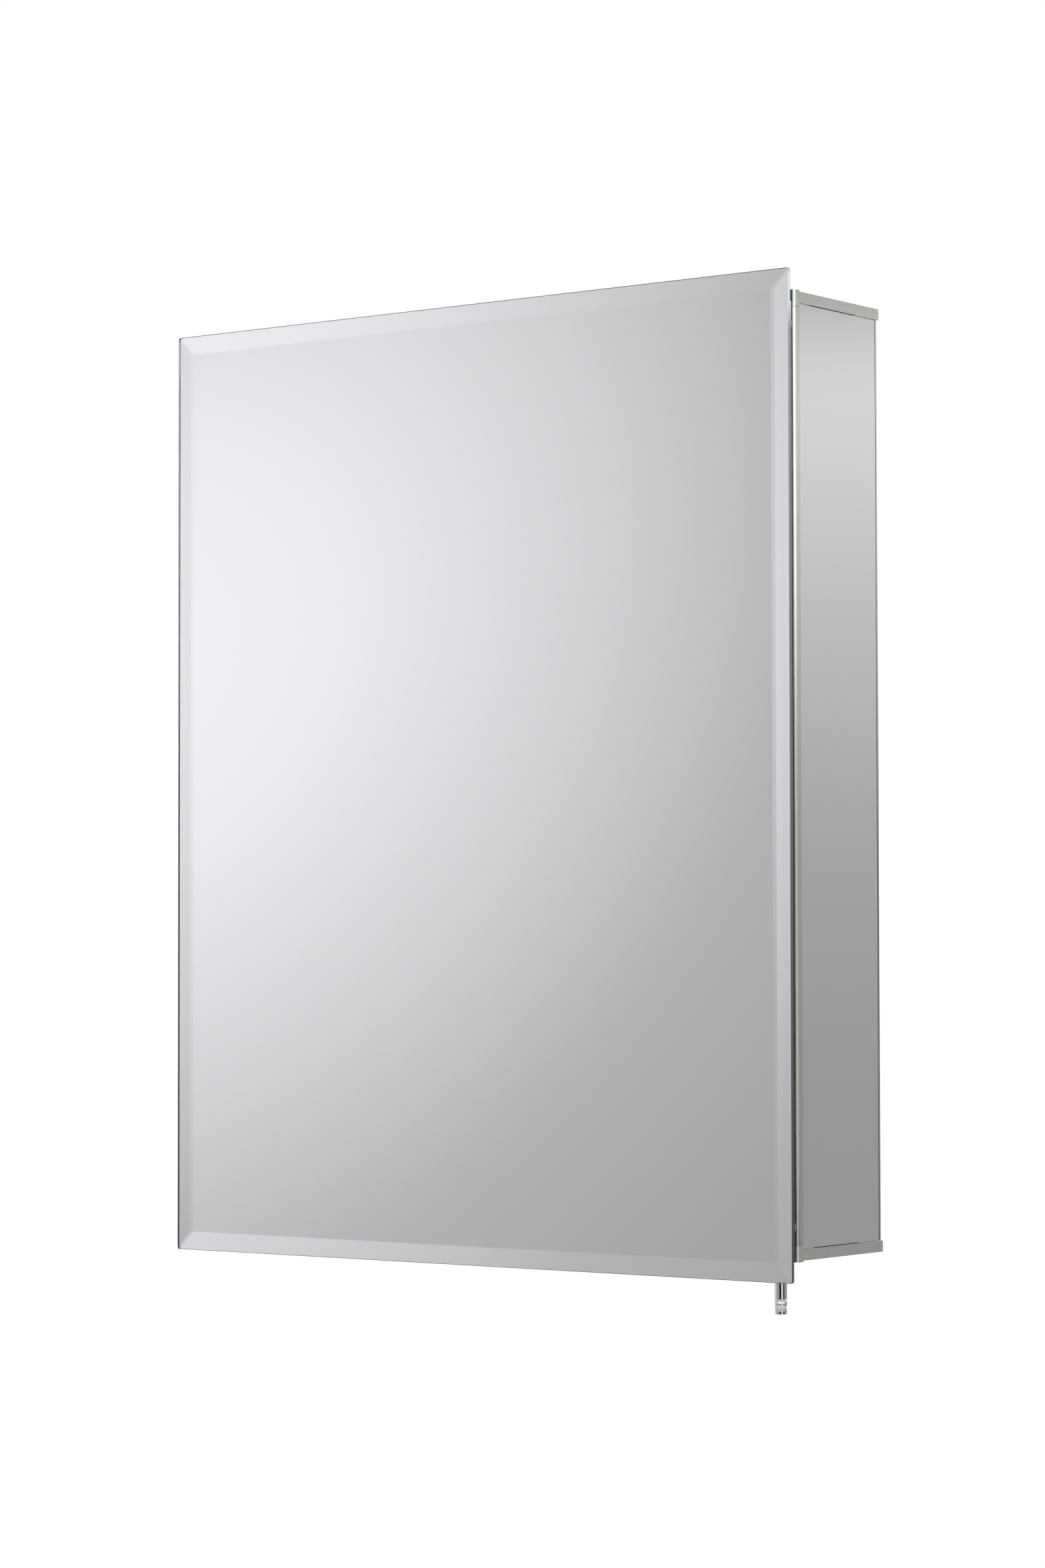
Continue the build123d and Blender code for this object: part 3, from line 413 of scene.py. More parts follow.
def plate_rings(low: Vector, high: Vector, through: int, corner: float, steps: np.ndarray) -> np.ndarray:
    """Rings that follow a plate's rounded outline at several depths.

    Each step (inset, depth) is the outline drawn in by the inset, at that depth below the plate's
    upper face along the axis that its thickness lies on.

    Args:
        low: the plate's lowest corner.
        high: its highest corner.
        through: the axis of its thickness, 0 to 2.
        corner: the outline's corner radius.
        steps: an (n, 2) array of insets and depths.

    Returns:
        An (n, around, 3) array.
    """
    low, high = np.array(low), np.array(high)
    axes = [(through + 1) % 3, (through + 2) % 3]
    middle, half = ((low + high) / 2)[axes], ((high - low) / 2)[axes]
    rings = []
    for inset, depth in steps:
        outline = rounded_outline(half - inset, max(corner - inset, 1e-6)) + middle
        ring = np.empty((len(outline), 3))
        ring[:, axes] = outline
        ring[:, through] = high[through] - depth
        rings.append(ring)
    return np.array(rings)


def slab(low: Vector, high: Vector, through: int, corner: float, edge: float) -> Shell:
    """A flat plate with round corners and rounded edges.

    The edge is a quarter circle: at angle a its inset is edge * (1 - sin a) and its depth
    edge * (1 - cos a), and the same from the other face.

    Args:
        low: the plate's lowest corner.
        high: its highest corner.
        through: the axis of its thickness, 0 to 2.
        corner: the outline's corner radius.
        edge: the radius along its edges.

    Returns:
        The closed shell.
    """
    angle = np.linspace(0, math.pi / 2, 4)
    thick = high[through] - low[through]
    upper = np.stack([edge * (1 - np.sin(angle)), edge * (1 - np.cos(angle))], -1)
    lower = np.stack([upper[::-1, 0], thick - upper[::-1, 1]], -1)
    return ring_shell(plate_rings(low, high, through, corner, np.concatenate([upper, lower])))


def arc(centre: tuple[float, float], radius: float, start: float, end: float, steps: int = 7) -> np.ndarray:
    """Points along a circular arc: the centre plus the radius times (cos a, sin a), a in degrees."""
    angle = np.radians(np.linspace(start, end, steps))
    return np.stack([centre[0] + radius * np.cos(angle), centre[1] + radius * np.sin(angle)], -1)


def eased(outline: np.ndarray, radius: float, steps: int = 4) -> np.ndarray:
    """An outline with each corner rounded.

    A corner P becomes the curve (1-t)^2 A + 2t(1-t) P + t^2 B, with A and B on its two sides at
    the radius from P, or nearer on a short side.

    Args:
        outline: an (n, 2) array of corners.
        radius: how far along its sides each corner's rounding reaches.
        steps: points along each rounding.

    Returns:
        The eased outline.
    """
    before, after = np.roll(outline, 1, 0) - outline, np.roll(outline, -1, 0) - outline
    reach_a = np.linalg.norm(before, axis=1, keepdims=True)
    reach_b = np.linalg.norm(after, axis=1, keepdims=True)
    reach = np.minimum(radius, 0.45 * np.minimum(reach_a, reach_b))
    a, b = outline + before / reach_a * reach, outline + after / reach_b * reach
    t = np.linspace(0, 1, steps)[None, :, None]
    curve = (1 - t) ** 2 * a[:, None] + 2 * t * (1 - t) * outline[:, None] + t**2 * b[:, None]
    return curve.reshape(-1, 2)


def drawn_along(outline: np.ndarray, along: int, low: float, high: float) -> Shell:
    """A bar: one outline carried straight along an axis.

    Args:
        outline: (n, 2) places on the two axes that follow the bar's own.
        along: the bar's axis, 0 to 2.
        low: where it starts.
        high: where it ends.

    Returns:
        The closed shell.
    """
    rings = np.empty((2, len(outline), 3))
    rings[:, :, (along + 1) % 3] = outline[:, 0]
    rings[:, :, (along + 2) % 3] = outline[:, 1]
    rings[0, :, along], rings[1, :, along] = low, high
    return ring_shell(rings)


def turned(centre: Vector, direction: Vector, profile: np.ndarray, around: int = 48) -> Shell:
    """A turned piece: each profile point (r, h) becomes a circle of radius r at height h.

    Args:
        centre: the point on the axis at height 0.
        direction: the axis's direction, a unit vector.
        profile: an (n, 2) array of radius and height.
        around: points round each circle.

    Returns:
        The closed shell.
    """
    turn = np.linspace(0, 2 * math.pi, around, endpoint=False)
    flat = np.stack([np.cos(turn), np.sin(turn)], -1)
    return ring_shell(stood(profile[:, :1, None] * flat[None], profile[:, 1], centre, direction))


def stood(flat: np.ndarray, heights: np.ndarray, centre: Vector, direction: Vector) -> np.ndarray:
    """Flat rings stood up along an axis: centre + u * x + v * y + direction * height.

    Args:
        flat: a (rings, around, 2) array.
        heights: one height for each ring.
        centre: the axis's point at height 0.
        direction: the axis's direction, a unit vector; u and v are square to it.

    Returns:
        A (rings, around, 3) array.
    """
    w = np.array(direction, float)
    u = np.roll(np.abs(w), 1)
    v = np.cross(w, u)
    return np.array(centre) + flat[..., :1] * u + flat[..., 1:] * v + heights[:, None, None] * w


def cross_outline(reach: float, half: float, around: int) -> np.ndarray:
    """A plus sign in polar form: the further of its two bars' edges in each direction.

    A bar of half-length L and half-width w ends at min(L / |cos t|, w / |sin t|).

    Args:
        reach: half the plus sign's length.
        half: half of one bar's width.
        around: how many directions.

    Returns:
        An (around, 2) array.
    """
    turn = np.linspace(0, 2 * math.pi, around, endpoint=False) + math.pi / around
    c, s = np.abs(np.cos(turn)), np.abs(np.sin(turn))
    radius = np.maximum(np.minimum(reach / c, half / s), np.minimum(half / c, reach / s))
    return np.stack([radius * np.cos(turn), radius * np.sin(turn)], -1)


def cross_screw(
    seat: Vector, out: Vector, head: float, rise: float, sink: float, shank: float, length: float
) -> Shell:
    """A screw with a cross recess.

    Its rings go from the recess's floor out over the head's crown and down the shank. The crown is
    a quarter ellipse in section, or flat where rise is 0, with a cone of depth sink under it.

    Args:
        seat: the point on the axis where the head meets what it holds.
        out: the direction from the tip to the head, a unit vector.
        head: the head's radius.
        rise: how far the head stands up from the seat.
        sink: how far a countersunk head goes down from it.
        shank: the shank's radius.
        length: from the seat to the tip.

    Returns:
        The closed shell.
    """
    around = 32
    turn = np.linspace(0, 2 * math.pi, around, endpoint=False) + math.pi / around
    circle = np.stack([np.cos(turn), np.sin(turn)], -1)
    plus = cross_outline(0.56 * head, 0.15 * head, around)
    crown = np.radians([62, 45, 25, 8, 0])
    depth = 0.5 * (rise + sink)
    top = rise * np.sin(crown[0]) if rise else 0.0
    flat = [0.25 * plus, 0.8 * plus, plus]
    heights = [top - depth, top - 0.8 * depth, top]
    for angle in crown:
        flat.append(circle * head * (0.7 + 0.3 * math.cos(angle)) if rise else circle * head)
        heights.append(rise * math.sin(angle))
    flat += [circle * shank, circle * shank, circle * shank * 0.3]
    heights += [-sink, 1.2 * shank - length, -length]
    return ring_shell(stood(np.array(flat), np.array(heights), seat, out))


def smooth(mesh: bpy.types.Mesh, angle: float = 35.0) -> None:
    """Shades a mesh smooth, with edges sharper than the angle kept crisp."""
    mesh.polygons.foreach_set("use_smooth", np.ones(len(mesh.polygons), bool))
    mesh.set_sharp_from_angle(angle=math.radians(angle))


def true_faces(piece: bpy.types.Object) -> None:
    """Lets a large flat face keep its own normal, so that only its rounded edges shade as round."""
    weighted = piece.modifiers.new("true faces", "WEIGHTED_NORMAL")
    weighted.keep_sharp, weighted.weight = True, 100


def add_piece(
    mesh: bpy.types.Mesh, finish: Finish, body: str, slot: str, *nodes: str, weigh: bool = True
) -> bpy.types.Object:
    """Puts a finished mesh in the scene as a piece.

    Args:
        mesh: the mesh, already in its place.
        finish: its first material.
        body: the body that it rides on.
        slot: the record's material slot; not used.
        *nodes: the CAD nodes that it stands for.
        weigh: whether its long flat faces keep their own normals.

    Returns:
        The piece.
    """
    piece = bpy.data.objects.new(mesh.name, mesh)
    bpy.context.scene.collection.objects.link(piece)
    mesh.materials.append(PAINT[finish])
    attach(piece, body)
    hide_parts(*nodes)
    if weigh:
        true_faces(piece)
    LOG.info("%s: %d faces on %s", mesh.name, len(mesh.polygons), body)
    return piece


def add_smooth(
    name: str, shells: list[Shell], finish: Finish, body: str, slot: str, node: str, angle: float = 35.0
) -> None:
    """Makes a smooth-shaded piece of closed shells, which stands for one CAD node.

    Args:
        name: the piece's name.
        shells: its closed shells.
        finish: its finish.
        body: the body that it rides on.
        slot: the record's material slot.
        node: the CAD node.
        angle: edges sharper than this many degrees stay crisp.
    """
    mesh = mesh_from(name, shells)
    smooth(mesh, angle)
    add_piece(mesh, finish, body, slot, node)


def merged_copy(node: str) -> bmesh.types.BMesh:
    """A CAD node's shape as one joined surface."""
    shell = bmesh.new()
    shell.from_mesh(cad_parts[node].data)
    bmesh.ops.remove_doubles(shell, verts=shell.verts, dist=2e-6)
    return shell


def eased_copy(
    name: str, node: str, body: str, finish: Finish, slot: str, edge: float = 0.3
) -> bpy.types.Object:
    """A piece with a CAD node's shape and softened edges, which stands for it.

    Args:
        name: the piece's name.
        node: the CAD node.
        body: its body.
        finish: its finish.
        slot: the record's material slot.
        edge: the width of the softened edges, in millimetres.

    Returns:
        The piece.
    """
    shell = merged_copy(node)
    bmesh.ops.dissolve_limit(
        shell,
        angle_limit=math.radians(0.5),
        verts=shell.verts,
        edges=shell.edges,
        use_dissolve_boundaries=False,
    )
    bmesh.ops.recalc_face_normals(shell, faces=shell.faces)
    mesh = bpy.data.meshes.new(name)
    shell.to_mesh(mesh)
    shell.free()
    mesh.materials.clear()
    smooth(mesh)
    piece = add_piece(mesh, finish, body, slot, node, weigh=False)
    bevel = piece.modifiers.new("soft edges", "BEVEL")
    bevel.width, bevel.segments = edge * MM, 2
    bevel.limit_method, bevel.angle_limit = "ANGLE", math.radians(38)
    bevel.harden_normals = True
    bevel.use_clamp_overlap = True
    return piece


def solids_of(node: str) -> list[tuple[Vector, Vector]]:
    """The boxes of a node's separate solids.

    Args:
        node: a CAD node's name.

    Returns:
        (lowest corner, highest corner) of each, sorted by place.
    """
    shell = merged_copy(node)
    unseen, boxes = set(shell.verts), []
    while unseen:
        stack, found = [unseen.pop()], []
        while stack:
            vertex = stack.pop()
            found.append(vertex.co.copy())
            near = {edge.other_vert(vertex) for edge in vertex.link_edges} & unseen
            unseen -= near
            stack.extend(near)
        places = np.array(found)
        boxes.append((Vector(places.min(0)), Vector(places.max(0))))
    shell.free()
    return sorted(boxes, key=lambda pair: [round(c, 5) for c in pair[0]])


class Side(Enum):
    """The cabinet's two sides, by the sign of x."""

    LEFT = -1
    RIGHT = 1

    @property
    def word(self) -> str:
        """The side's name in the node names."""
        return self.name.lower()


# --- Mirror panes -------------------------------------------------------------------------------
@dataclass
class MirrorPane:
    """A pane of silvered glass: clear glass, a silver film behind it, paint over the silver.

    Sizes in metres. facing is the sign of y that the glass side looks to.
    """

    node: str
    body: str
    slot: str
    facing: int = -1
    bevel: float = 0.0
    bevel_depth: float = 0.0
    arris: float = 0.35 * MM
    corner: float = 0.8 * MM
    film_gap: float = 0.02 * MM
    paint: float = 0.08 * MM

    def rings(self, steps: list[tuple[float, float]]) -> np.ndarray:
        """Rings at (inset, depth from the glass side), whichever way the pane faces."""
        low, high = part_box(self.node)
        thick = high.y - low.y
        depths = [(i, d if self.facing > 0 else thick - d) for i, d in steps]
        return plate_rings(low, high, 1, self.corner, np.array(depths))

    def build(self) -> bpy.types.Object:
        """Builds the pane.

        The bevel is a flat facet from (bevel, 0) towards (0, bevel_depth) in (inset, depth), and
        narrow 45 degree arrises ease the ground edge.

        Returns:
            The piece, which stands for the CAD node.
        """
        low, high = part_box(self.node)
        film = high.y - low.y - self.paint - self.film_gap
        a, b, d = self.arris, self.bevel, self.bevel_depth
        front = [(b, 0.0), (a, d * (1 - a / b)), (0.0, d + a)] if b else [(a, 0.0), (0.0, a)]
        glass = ring_shell(self.rings(front + [(0.0, film)]))
        start = film + self.film_gap
        paint = ring_shell(self.rings([(0.0, start), (0.0, start + self.paint)]))
        mesh = mesh_from(self.node + "_pane", [glass, paint])
        piece = add_piece(mesh, GLASS, self.body, self.slot, self.node)
        # The ground edge's finish has painted light: painted shade low down and a painted highlight near the
        # top.
        for finish in (SILVER, GLASS_EDGE_PAINTED_LIGHT, MIRROR_BACK):
            mesh.materials.append(PAINT[finish])
        mesh.polygons.foreach_set("material_index", self.parts(mesh, film))
        return piece

    def parts(self, mesh: bpy.types.Mesh, film: float) -> np.ndarray:
        """Which material each face has: glass in front, silver behind, ground edge, back paint.

        Args:
            mesh: the pane's mesh.
            film: the depth of the silver film.

        Returns:
            One slot number for each face.
        """
        count = len(mesh.polygons)
        normals, centres = np.empty(count * 3), np.empty(count * 3)
        mesh.polygons.foreach_get("normal", normals)
        mesh.polygons.foreach_get("center", centres)
        out = normals[1::3] * self.facing
        low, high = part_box(self.node)
        depth = high.y - centres[1::3] if self.facing > 0 else centres[1::3] - low.y
        slots = np.where(out > 0.9, 0, np.where(out < -0.9, 1, 2))
        return np.where(depth > film + self.film_gap / 2, 3, slots).astype(np.int32)


# --- Door -----------------------------------------------------------------------------------------
@dataclass
class Door:
    """The mirror door with its frame, core, pivots, strikes and bumpers. Sizes in metres."""

    bevel: float = 15.0 * MM
    bevel_depth: float = 1.5 * MM
    glass_corner: float = 1.8 * MM
    bar_corner: float = 0.3 * MM
    bar_edge: float = 0.3 * MM
    core_edge: float = 0.2 * MM
    strike_corner: float = 1.2 * MM
    strike_edge: float = 0.2 * MM
    bracket_edge_mm: float = 0.25
    screw_head: float = 2.0 * MM
    screw_rise: float = 1.2 * MM
    screw_shank: float = 1.2 * MM
    bumper_edge: float = 0.7 * MM

    def build(self) -> None:
        """Builds every piece of the door."""
        front = MirrorPane("door_glass", "door", "door_mirror", -1, self.bevel, self.bevel_depth)
        front.corner = self.glass_corner
        front.build()
        MirrorPane("inner_mirror", "door", "mirror", 1).build()
        self.bars()
        self.screws()
        self.bumpers()
        self.pivots()

    def bars(self) -> None:
        """The frame's four bars and the core, with eased edges."""
        for name in ("door_stile_left", "door_stile_right", "door_rail_top", "door_rail_bottom"):
            shell = slab(*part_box(name), 1, self.bar_corner, self.bar_edge)
            add_smooth(name + "_bar", [shell], FRAME_BAR, "door", "frame_metal", name)
        mesh = mesh_from("core_board", [slab(*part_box("door_core"), 1, self.bar_corner, self.core_edge)])
        add_piece(mesh, FIBREBOARD, "door", "core_board", "door_core")

    def screws(self) -> None:
        """The pan-head screws through the brackets' feet."""
        shells = []
        for low, high in solids_of("bracket_screws"):
            middle = (low + high) / 2
            out = Vector((0, 0, 1 if middle.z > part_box("door_core")[0].z else -1))
            tip_to_head = high.z - low.z
            end = high.z if out.z > 0 else low.z
            seat = Vector((middle.x, middle.y, end - out.z * self.screw_rise))
            length = tip_to_head - self.screw_rise
            shells.append(
                cross_screw(seat, out, self.screw_head, self.screw_rise, 0.0, self.screw_shank, length)
            )
        add_smooth("bracket_pan_screws", shells, FIXING, "door", "fixings", "bracket_screws")

    def bumpers(self) -> None:
        """The silicone bumpers: a short drum with a rounded rim and a slightly domed face."""
        shells = []
        for low, high in solids_of("door_bumpers"):
            radius, thick = (high.x - low.x) / 2, high.y - low.y
            e = self.bumper_edge
            rim = arc((radius - e, thick - e), e, 0, 90)
            profile = np.concatenate([[[radius, 0]], rim, [[radius * 0.4, thick]]])
            base = Vector(((low.x + high.x) / 2, low.y, (low.z + high.z) / 2))
            shells.append(turned(base, Vector((0, 1, 0)), profile))
        add_smooth("soft_bumpers", shells, SILICONE, "door", "bumper_rubber", "door_bumpers", 50)

    def pivots(self) -> None:
        """The folded brackets and the strikes."""
        for level in ("upper", "lower"):
            bracket = f"{level}_pivot_bracket"
            eased_copy(f"{level}_bracket", bracket, "door", ZINC, "zinc_steel", self.bracket_edge_mm)
            node = f"{level}_strike"
            shell = slab(*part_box(node), 1, self.strike_corner, self.strike_edge)
            add_smooth(node + "_plate", [shell], ZINC, "door", "zinc_steel", node)


# --- Handle -----------------------------------------------------------------------------------------
@dataclass
class PullRod:
    """The hanging chrome rod with its plate and screws. Sizes in metres.

    A screw's three sizes are its head's radius, its head's height and its shank's radius.
    """

    radius: float = 4.75 * MM
    tip: float = 4.55 * MM
    waist: float = 4.0 * MM
    tip_edge: float = 0.5 * MM
    top_edge: float = 0.3 * MM
    grooves: tuple[float, float] = (5.1 * MM, 10.8 * MM)
    groove_half: float = 0.9 * MM
    bore: float = 1.5 * MM
    plate_edge_mm: float = 0.25
    sunk_head: float = 2.7 * MM
    sunk_depth: float = 1.5 * MM
    pan_screw: tuple[float, float, float] = (2.0 * MM, 1.2 * MM, 1.2 * MM)

    def build(self) -> None:
        """Builds the rod, its plate and its screws."""
        self.rod()
        self.plate()

    def groove(self, height: float, low_r: float, high_r: float) -> np.ndarray:
        """A round groove: half a cosine wave from one radius down to the waist and up to the other."""
        t = np.linspace(0, 1, 13)
        rim = low_r + (high_r - low_r) * t
        depth = (rim - self.waist) * np.sin(math.pi * t) ** 1.2
        return np.stack([rim - depth, height + self.groove_half * (2 * t - 1)], -1)

    def rod(self) -> None:
        """The turned rod: rounded tip, two grooves, a straight body up to its plate."""
        low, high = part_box("handle_rod")
        length = high.z - low.z
        lower, upper = self.grooves
        swell = np.linspace(0, 1, 9)[1:-1]
        middle = np.stack(
            [
                self.tip + (self.radius - self.tip) * np.sin(math.pi * swell),
                lower + self.groove_half + (upper - lower - 2 * self.groove_half) * swell,
            ],
            -1,
        )
        profile = np.concatenate(
            [
                arc((self.tip - self.tip_edge, self.tip_edge), self.tip_edge, -90, 0),
                self.groove(lower, self.tip, self.tip),
                middle,
                self.groove(upper, self.tip, self.radius),
                arc((self.radius - self.top_edge, length - self.top_edge), self.top_edge, 0, 90),
            ]
        )
        foot = Vector(((low.x + high.x) / 2, (low.y + high.y) / 2, low.z))
        shell = turned(foot, Vector((0, 0, 1)), profile, 96)
        add_smooth("pull_rod", [shell], CHROME, "door", "rod_chrome", "handle_rod", 40)

    def plate(self) -> None:
        """The plate that carries the rod, the screw down into the rod and the two under the plate."""
        eased_copy("rod_plate", "handle_plate", "door", ZINC, "zinc_steel", self.plate_edge_mm)
        low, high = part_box("handle_screw")
        middle = (low + high) / 2
        seat, out = Vector((middle.x, middle.y, high.z)), Vector((0, 0, 1))
        shell = cross_screw(seat, out, self.sunk_head, 0.0, self.sunk_depth, self.bore, high.z - low.z)
        add_smooth("rod_screw", [shell], FIXING, "door", "fixings", "handle_screw")
        shells = []
        head, rise, shank = self.pan_screw
        for low, high in solids_of("handle_plate_screws"):
            middle = (low + high) / 2
            seat = Vector((middle.x, middle.y, low.z + rise))
            shells.append(cross_screw(seat, Vector((0, 0, -1)), head, rise, 0.0, shank, high.z - seat.z))
        add_smooth("rod_plate_screws", shells, FIXING, "door", "fixings", "handle_plate_screws")


# --- Case -------------------------------------------------------------------------------------------
@dataclass
class Case:
    """The case: caps, posts, side sheets, tracks, back, rails, catches. Sizes in metres.

    A screw's three sizes are its head's radius, its head's height and its shank's radius; on a
    countersunk screw the second is how deep its head sinks.
    """

    bead: float = 3.1 * MM
    bead_face: float = 4.0 * MM
    leg_start: float = 4.5 * MM
    neck_reach: float = 5.5 * MM
    leg_end: float = 22.0 * MM
    leg: float = 2.0 * MM
    leg_inset: float = 4.2 * MM
    port: float = 3.5 * MM
    bead_short: float = 3.35 * MM
    rear_ease: tuple[float, float] = (0.45 * MM, 1.7 * MM)
    sheet_edge: float = 0.25 * MM
    sheet_corner: float = 0.7 * MM
    cap_edge_mm: float = 0.45
    rail_edge_mm: float = 0.35
    catch_edge_mm: float = 0.5
    magnet_corner: float = 0.4 * MM
    magnet_edge: float = 0.25 * MM
    rear_leg_inset: float = 1.6 * MM
    rear_strip: float = 2.5 * MM
    rear_port: tuple[float, float] = (2.5 * MM, 6.0 * MM)
    flange_y: tuple[float, float] = (-12.2 * MM, -14.0 * MM)
    track_wall: float = 1.2 * MM
    track_mouth: float = 3.3 * MM
    track_ease: float = 0.3 * MM
    rivet_head: tuple[float, float] = (3.0 * MM, 1.0 * MM)
    rivet_shank: float = 1.6 * MM
    cap_screw: tuple[float, float, float] = (3.55 * MM, 2.0 * MM, 1.6 * MM)
    sheet_screw: tuple[float, float, float] = (2.8 * MM, 0.6 * MM, 1.4 * MM)
    pan_screw: tuple[float, float, float] = (2.0 * MM, 1.2 * MM, 1.2 * MM)

    def build(self) -> None:
        """Builds every piece that stays on the wall."""
        self.caps()
        for side in Side:
            self.front_post(side)
            self.rear_post(side)
            self.side_sheet(side)
            self.tracks(side)
        self.back()
        self.catches()
        self.screws()

    def caps(self) -> None:
        """The cast end caps and the countersunk screws in them."""
        for place, up in (("top", 1), ("bottom", -1)):
            eased_copy(f"{place}_casting", f"{place}_cap", "case", CAP, "cap_metal", self.cap_edge_mm)
            head, sink, shank = self.cap_screw
            shells = []
            for low, high in solids_of(f"{place}_cap_screws"):
                middle = (low + high) / 2
                seat = Vector((middle.x, middle.y, high.z if up > 0 else low.z))
                out = Vector((0, 0, up))
                shells.append(cross_screw(seat, out, head, 0.0, sink, shank, high.z - low.z))
            node = f"{place}_cap_screws"
            add_smooth(f"{place}_countersunk_screws", shells, FIXING, "case", "fixings", node)

    def port_arc(self, x: float, y: float, wall: float) -> np.ndarray:
        """A screw port's outline, from the leg's inner face round and back to it."""
        open_angle = math.degrees(math.acos((wall - x) / self.port))
        return arc((x, y), self.port, open_angle, 360 - open_angle, 25)

    def front_post(self, side: Side) -> None:
        """A front post: a round-fronted, flat-sided bead, and a leg with a screw port.

        Args:
            side: which side of the case.
        """
        node = f"front_post_{side.word}"
        low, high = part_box(node)
        outer = max(abs(low.x), abs(high.x))
        cx, cy = outer - self.bead, low.y + self.bead
        leg_out = outer - self.leg_inset + self.leg
        leg_in = leg_out - self.leg
        start = 90 - math.degrees(math.asin((leg_in - cx) / self.bead))
        face_y, neck_y = cy + self.bead_face, cy + self.neck_reach
        bead = np.concatenate(
            [
                arc((cx, cy), self.bead, start, 360, 49),
                [[outer, face_y], [leg_out, face_y], [leg_out, neck_y], [leg_in, neck_y]],
            ]
        )
        port_x = min(abs(low.x), abs(high.x)) + self.port
        port = self.port_arc(port_x, cy + self.leg_end - self.port, leg_in)
        leg = np.concatenate(
            [
                [[leg_in, cy + self.leg_start], [leg_out, cy + self.leg_start]],
                [[leg_out, cy + self.leg_end], [leg_in, cy + self.leg_end]],
                port,
            ]
        )
        shells = [
            drawn_along(bead * [side.value, 1], 2, low.z + self.bead_short, high.z - self.bead_short),
            drawn_along(leg * [side.value, 1], 2, low.z, high.z),
        ]
        add_smooth(node + "_extrusion", shells, POST, "case", "post_metal", node)

    def rear_post(self, side: Side) -> None:
        """A rear post: leg, edge strip, flange for the back panel and a screw port.

        Args:
            side: which side of the case.
        """
        node = f"rear_post_{side.word}"
        low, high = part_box(node)
        outer, flange = max(abs(low.x), abs(high.x)), min(abs(low.x), abs(high.x))
        leg_out = outer - self.rear_leg_inset
        leg_in = leg_out - self.leg
        port_x, port_y = leg_in - self.rear_port[0], high.y - self.rear_port[1]
        strip_y = high.y - self.rear_strip
        flange_rear, flange_front = self.flange_y
        port = self.port_arc(port_x, port_y, leg_in)
        corners = [[leg_in, low.y], [leg_out, low.y], [leg_out, strip_y], [outer, strip_y]]
        corners += [[outer, high.y - self.rear_ease[1]], [outer - self.rear_ease[0], high.y]]
        corners += [[leg_in, high.y]]
        ends = [[leg_in, flange_rear], [flange, flange_rear], [flange, flange_front], [leg_in, flange_front]]
        outline = np.concatenate([corners, port, ends])
        shell = drawn_along(outline * [side.value, 1], 2, low.z, high.z)
        add_smooth(node + "_extrusion", [shell], POST, "case", "post_metal", node)

    def side_sheet(self, side: Side) -> None:
        """The flat outer sheet of one side."""
        node = f"side_sheet_{side.word}"
        shell = slab(*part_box(node), 0, self.sheet_corner, self.sheet_edge)
        add_smooth(node + "_panel", [shell], SIDE_SHEET, "case", "side_metal", node)

    def tracks(self, side: Side) -> None:
        """The two lipped channels of one side, with eased edges."""
        wall, mouth = self.track_wall, self.track_mouth
        for place in ("front", "rear"):
            node = f"shelf_track_{place}_{side.word}"
            low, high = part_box(node)
            inner, outer = sorted((abs(low.x), abs(high.x)))
            y, half = (low.y + high.y) / 2, (high.y - low.y) / 2
            lip, floor = inner + wall, outer - wall
            points = [[outer, -half], [outer, half], [inner, half], [inner, mouth], [lip, mouth]]
            points += [[lip, half - wall], [floor, half - wall], [floor, wall - half]]
            points += [[lip, wall - half], [lip, -mouth], [inner, -mouth], [inner, -half]]
            outline = eased(np.array(points), self.track_ease) + [0, y]
            shell = drawn_along(outline * [side.value, 1], 2, low.z, high.z)
            add_smooth(node + "_channel", [shell], TRACK, "case", "track_metal", node)

    def back(self) -> None:
        """The back mirror, the rails behind the back and the rivets."""
        MirrorPane("back_mirror", "case", "mirror", -1).build()
        for node in ("wall_rail", "hanger_rail", "spacer_rail"):
            eased_copy(node + "_bar", node, "case", MILL, "mill_metal", self.rail_edge_mm)
        head, rise = self.rivet_head
        for node, out in (("back_panel_rivets", -1), ("rail_rivets", 1)):
            shells = []
            for low, high in solids_of(node):
                middle = (low + high) / 2
                front, rear = (low.y, high.y) if out < 0 else (high.y, low.y)
                length = abs(rear - front)
                dome = arc((0, 0), 1, 0, 84, 7) * [head, rise]
                shank = [[self.rivet_shank, rise - length], [self.rivet_shank, 0]]
                profile = np.concatenate([shank, dome])
                base = Vector((middle.x, front - out * rise, middle.z))
                shells.append(turned(base, Vector((0, out, 0)), profile, 24))
            add_smooth(node + "_domed", shells, FIXING, "case", "fixings", node)

    def catches(self) -> None:
        """The moulded catch bodies and their magnets."""
        for level in ("upper", "lower"):
            housing, edge = f"{level}_catch_housing", self.catch_edge_mm
            eased_copy(f"{level}_catch_body", housing, "case", ABS_GREY, "catch_plastic", edge)
            node = f"{level}_catch_magnet"
            shell = slab(*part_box(node), 1, self.magnet_corner, self.magnet_edge)
            add_smooth(node + "_block", [shell], FERRITE, "case", "ferrite", node)

    def screws(self) -> None:
        """The low-headed screws in the tracks and the pan-head screws in the catches."""
        kinds = (("track_screws", self.sheet_screw), ("catch_screws", self.pan_screw))
        for node, (head, rise, shank) in kinds:
            shells = []
            for low, high in solids_of(node):
                middle = (low + high) / 2
                right = middle.x > 0
                inner = low.x if right else high.x
                out = Vector((-1 if right else 1, 0, 0))
                seat = Vector((inner - out.x * rise, middle.y, middle.z))
                shells.append(cross_screw(seat, out, head, rise, 0.0, shank, high.x - low.x - rise))
            add_smooth(node + "_heads", shells, FIXING, "case", "fixings", node)


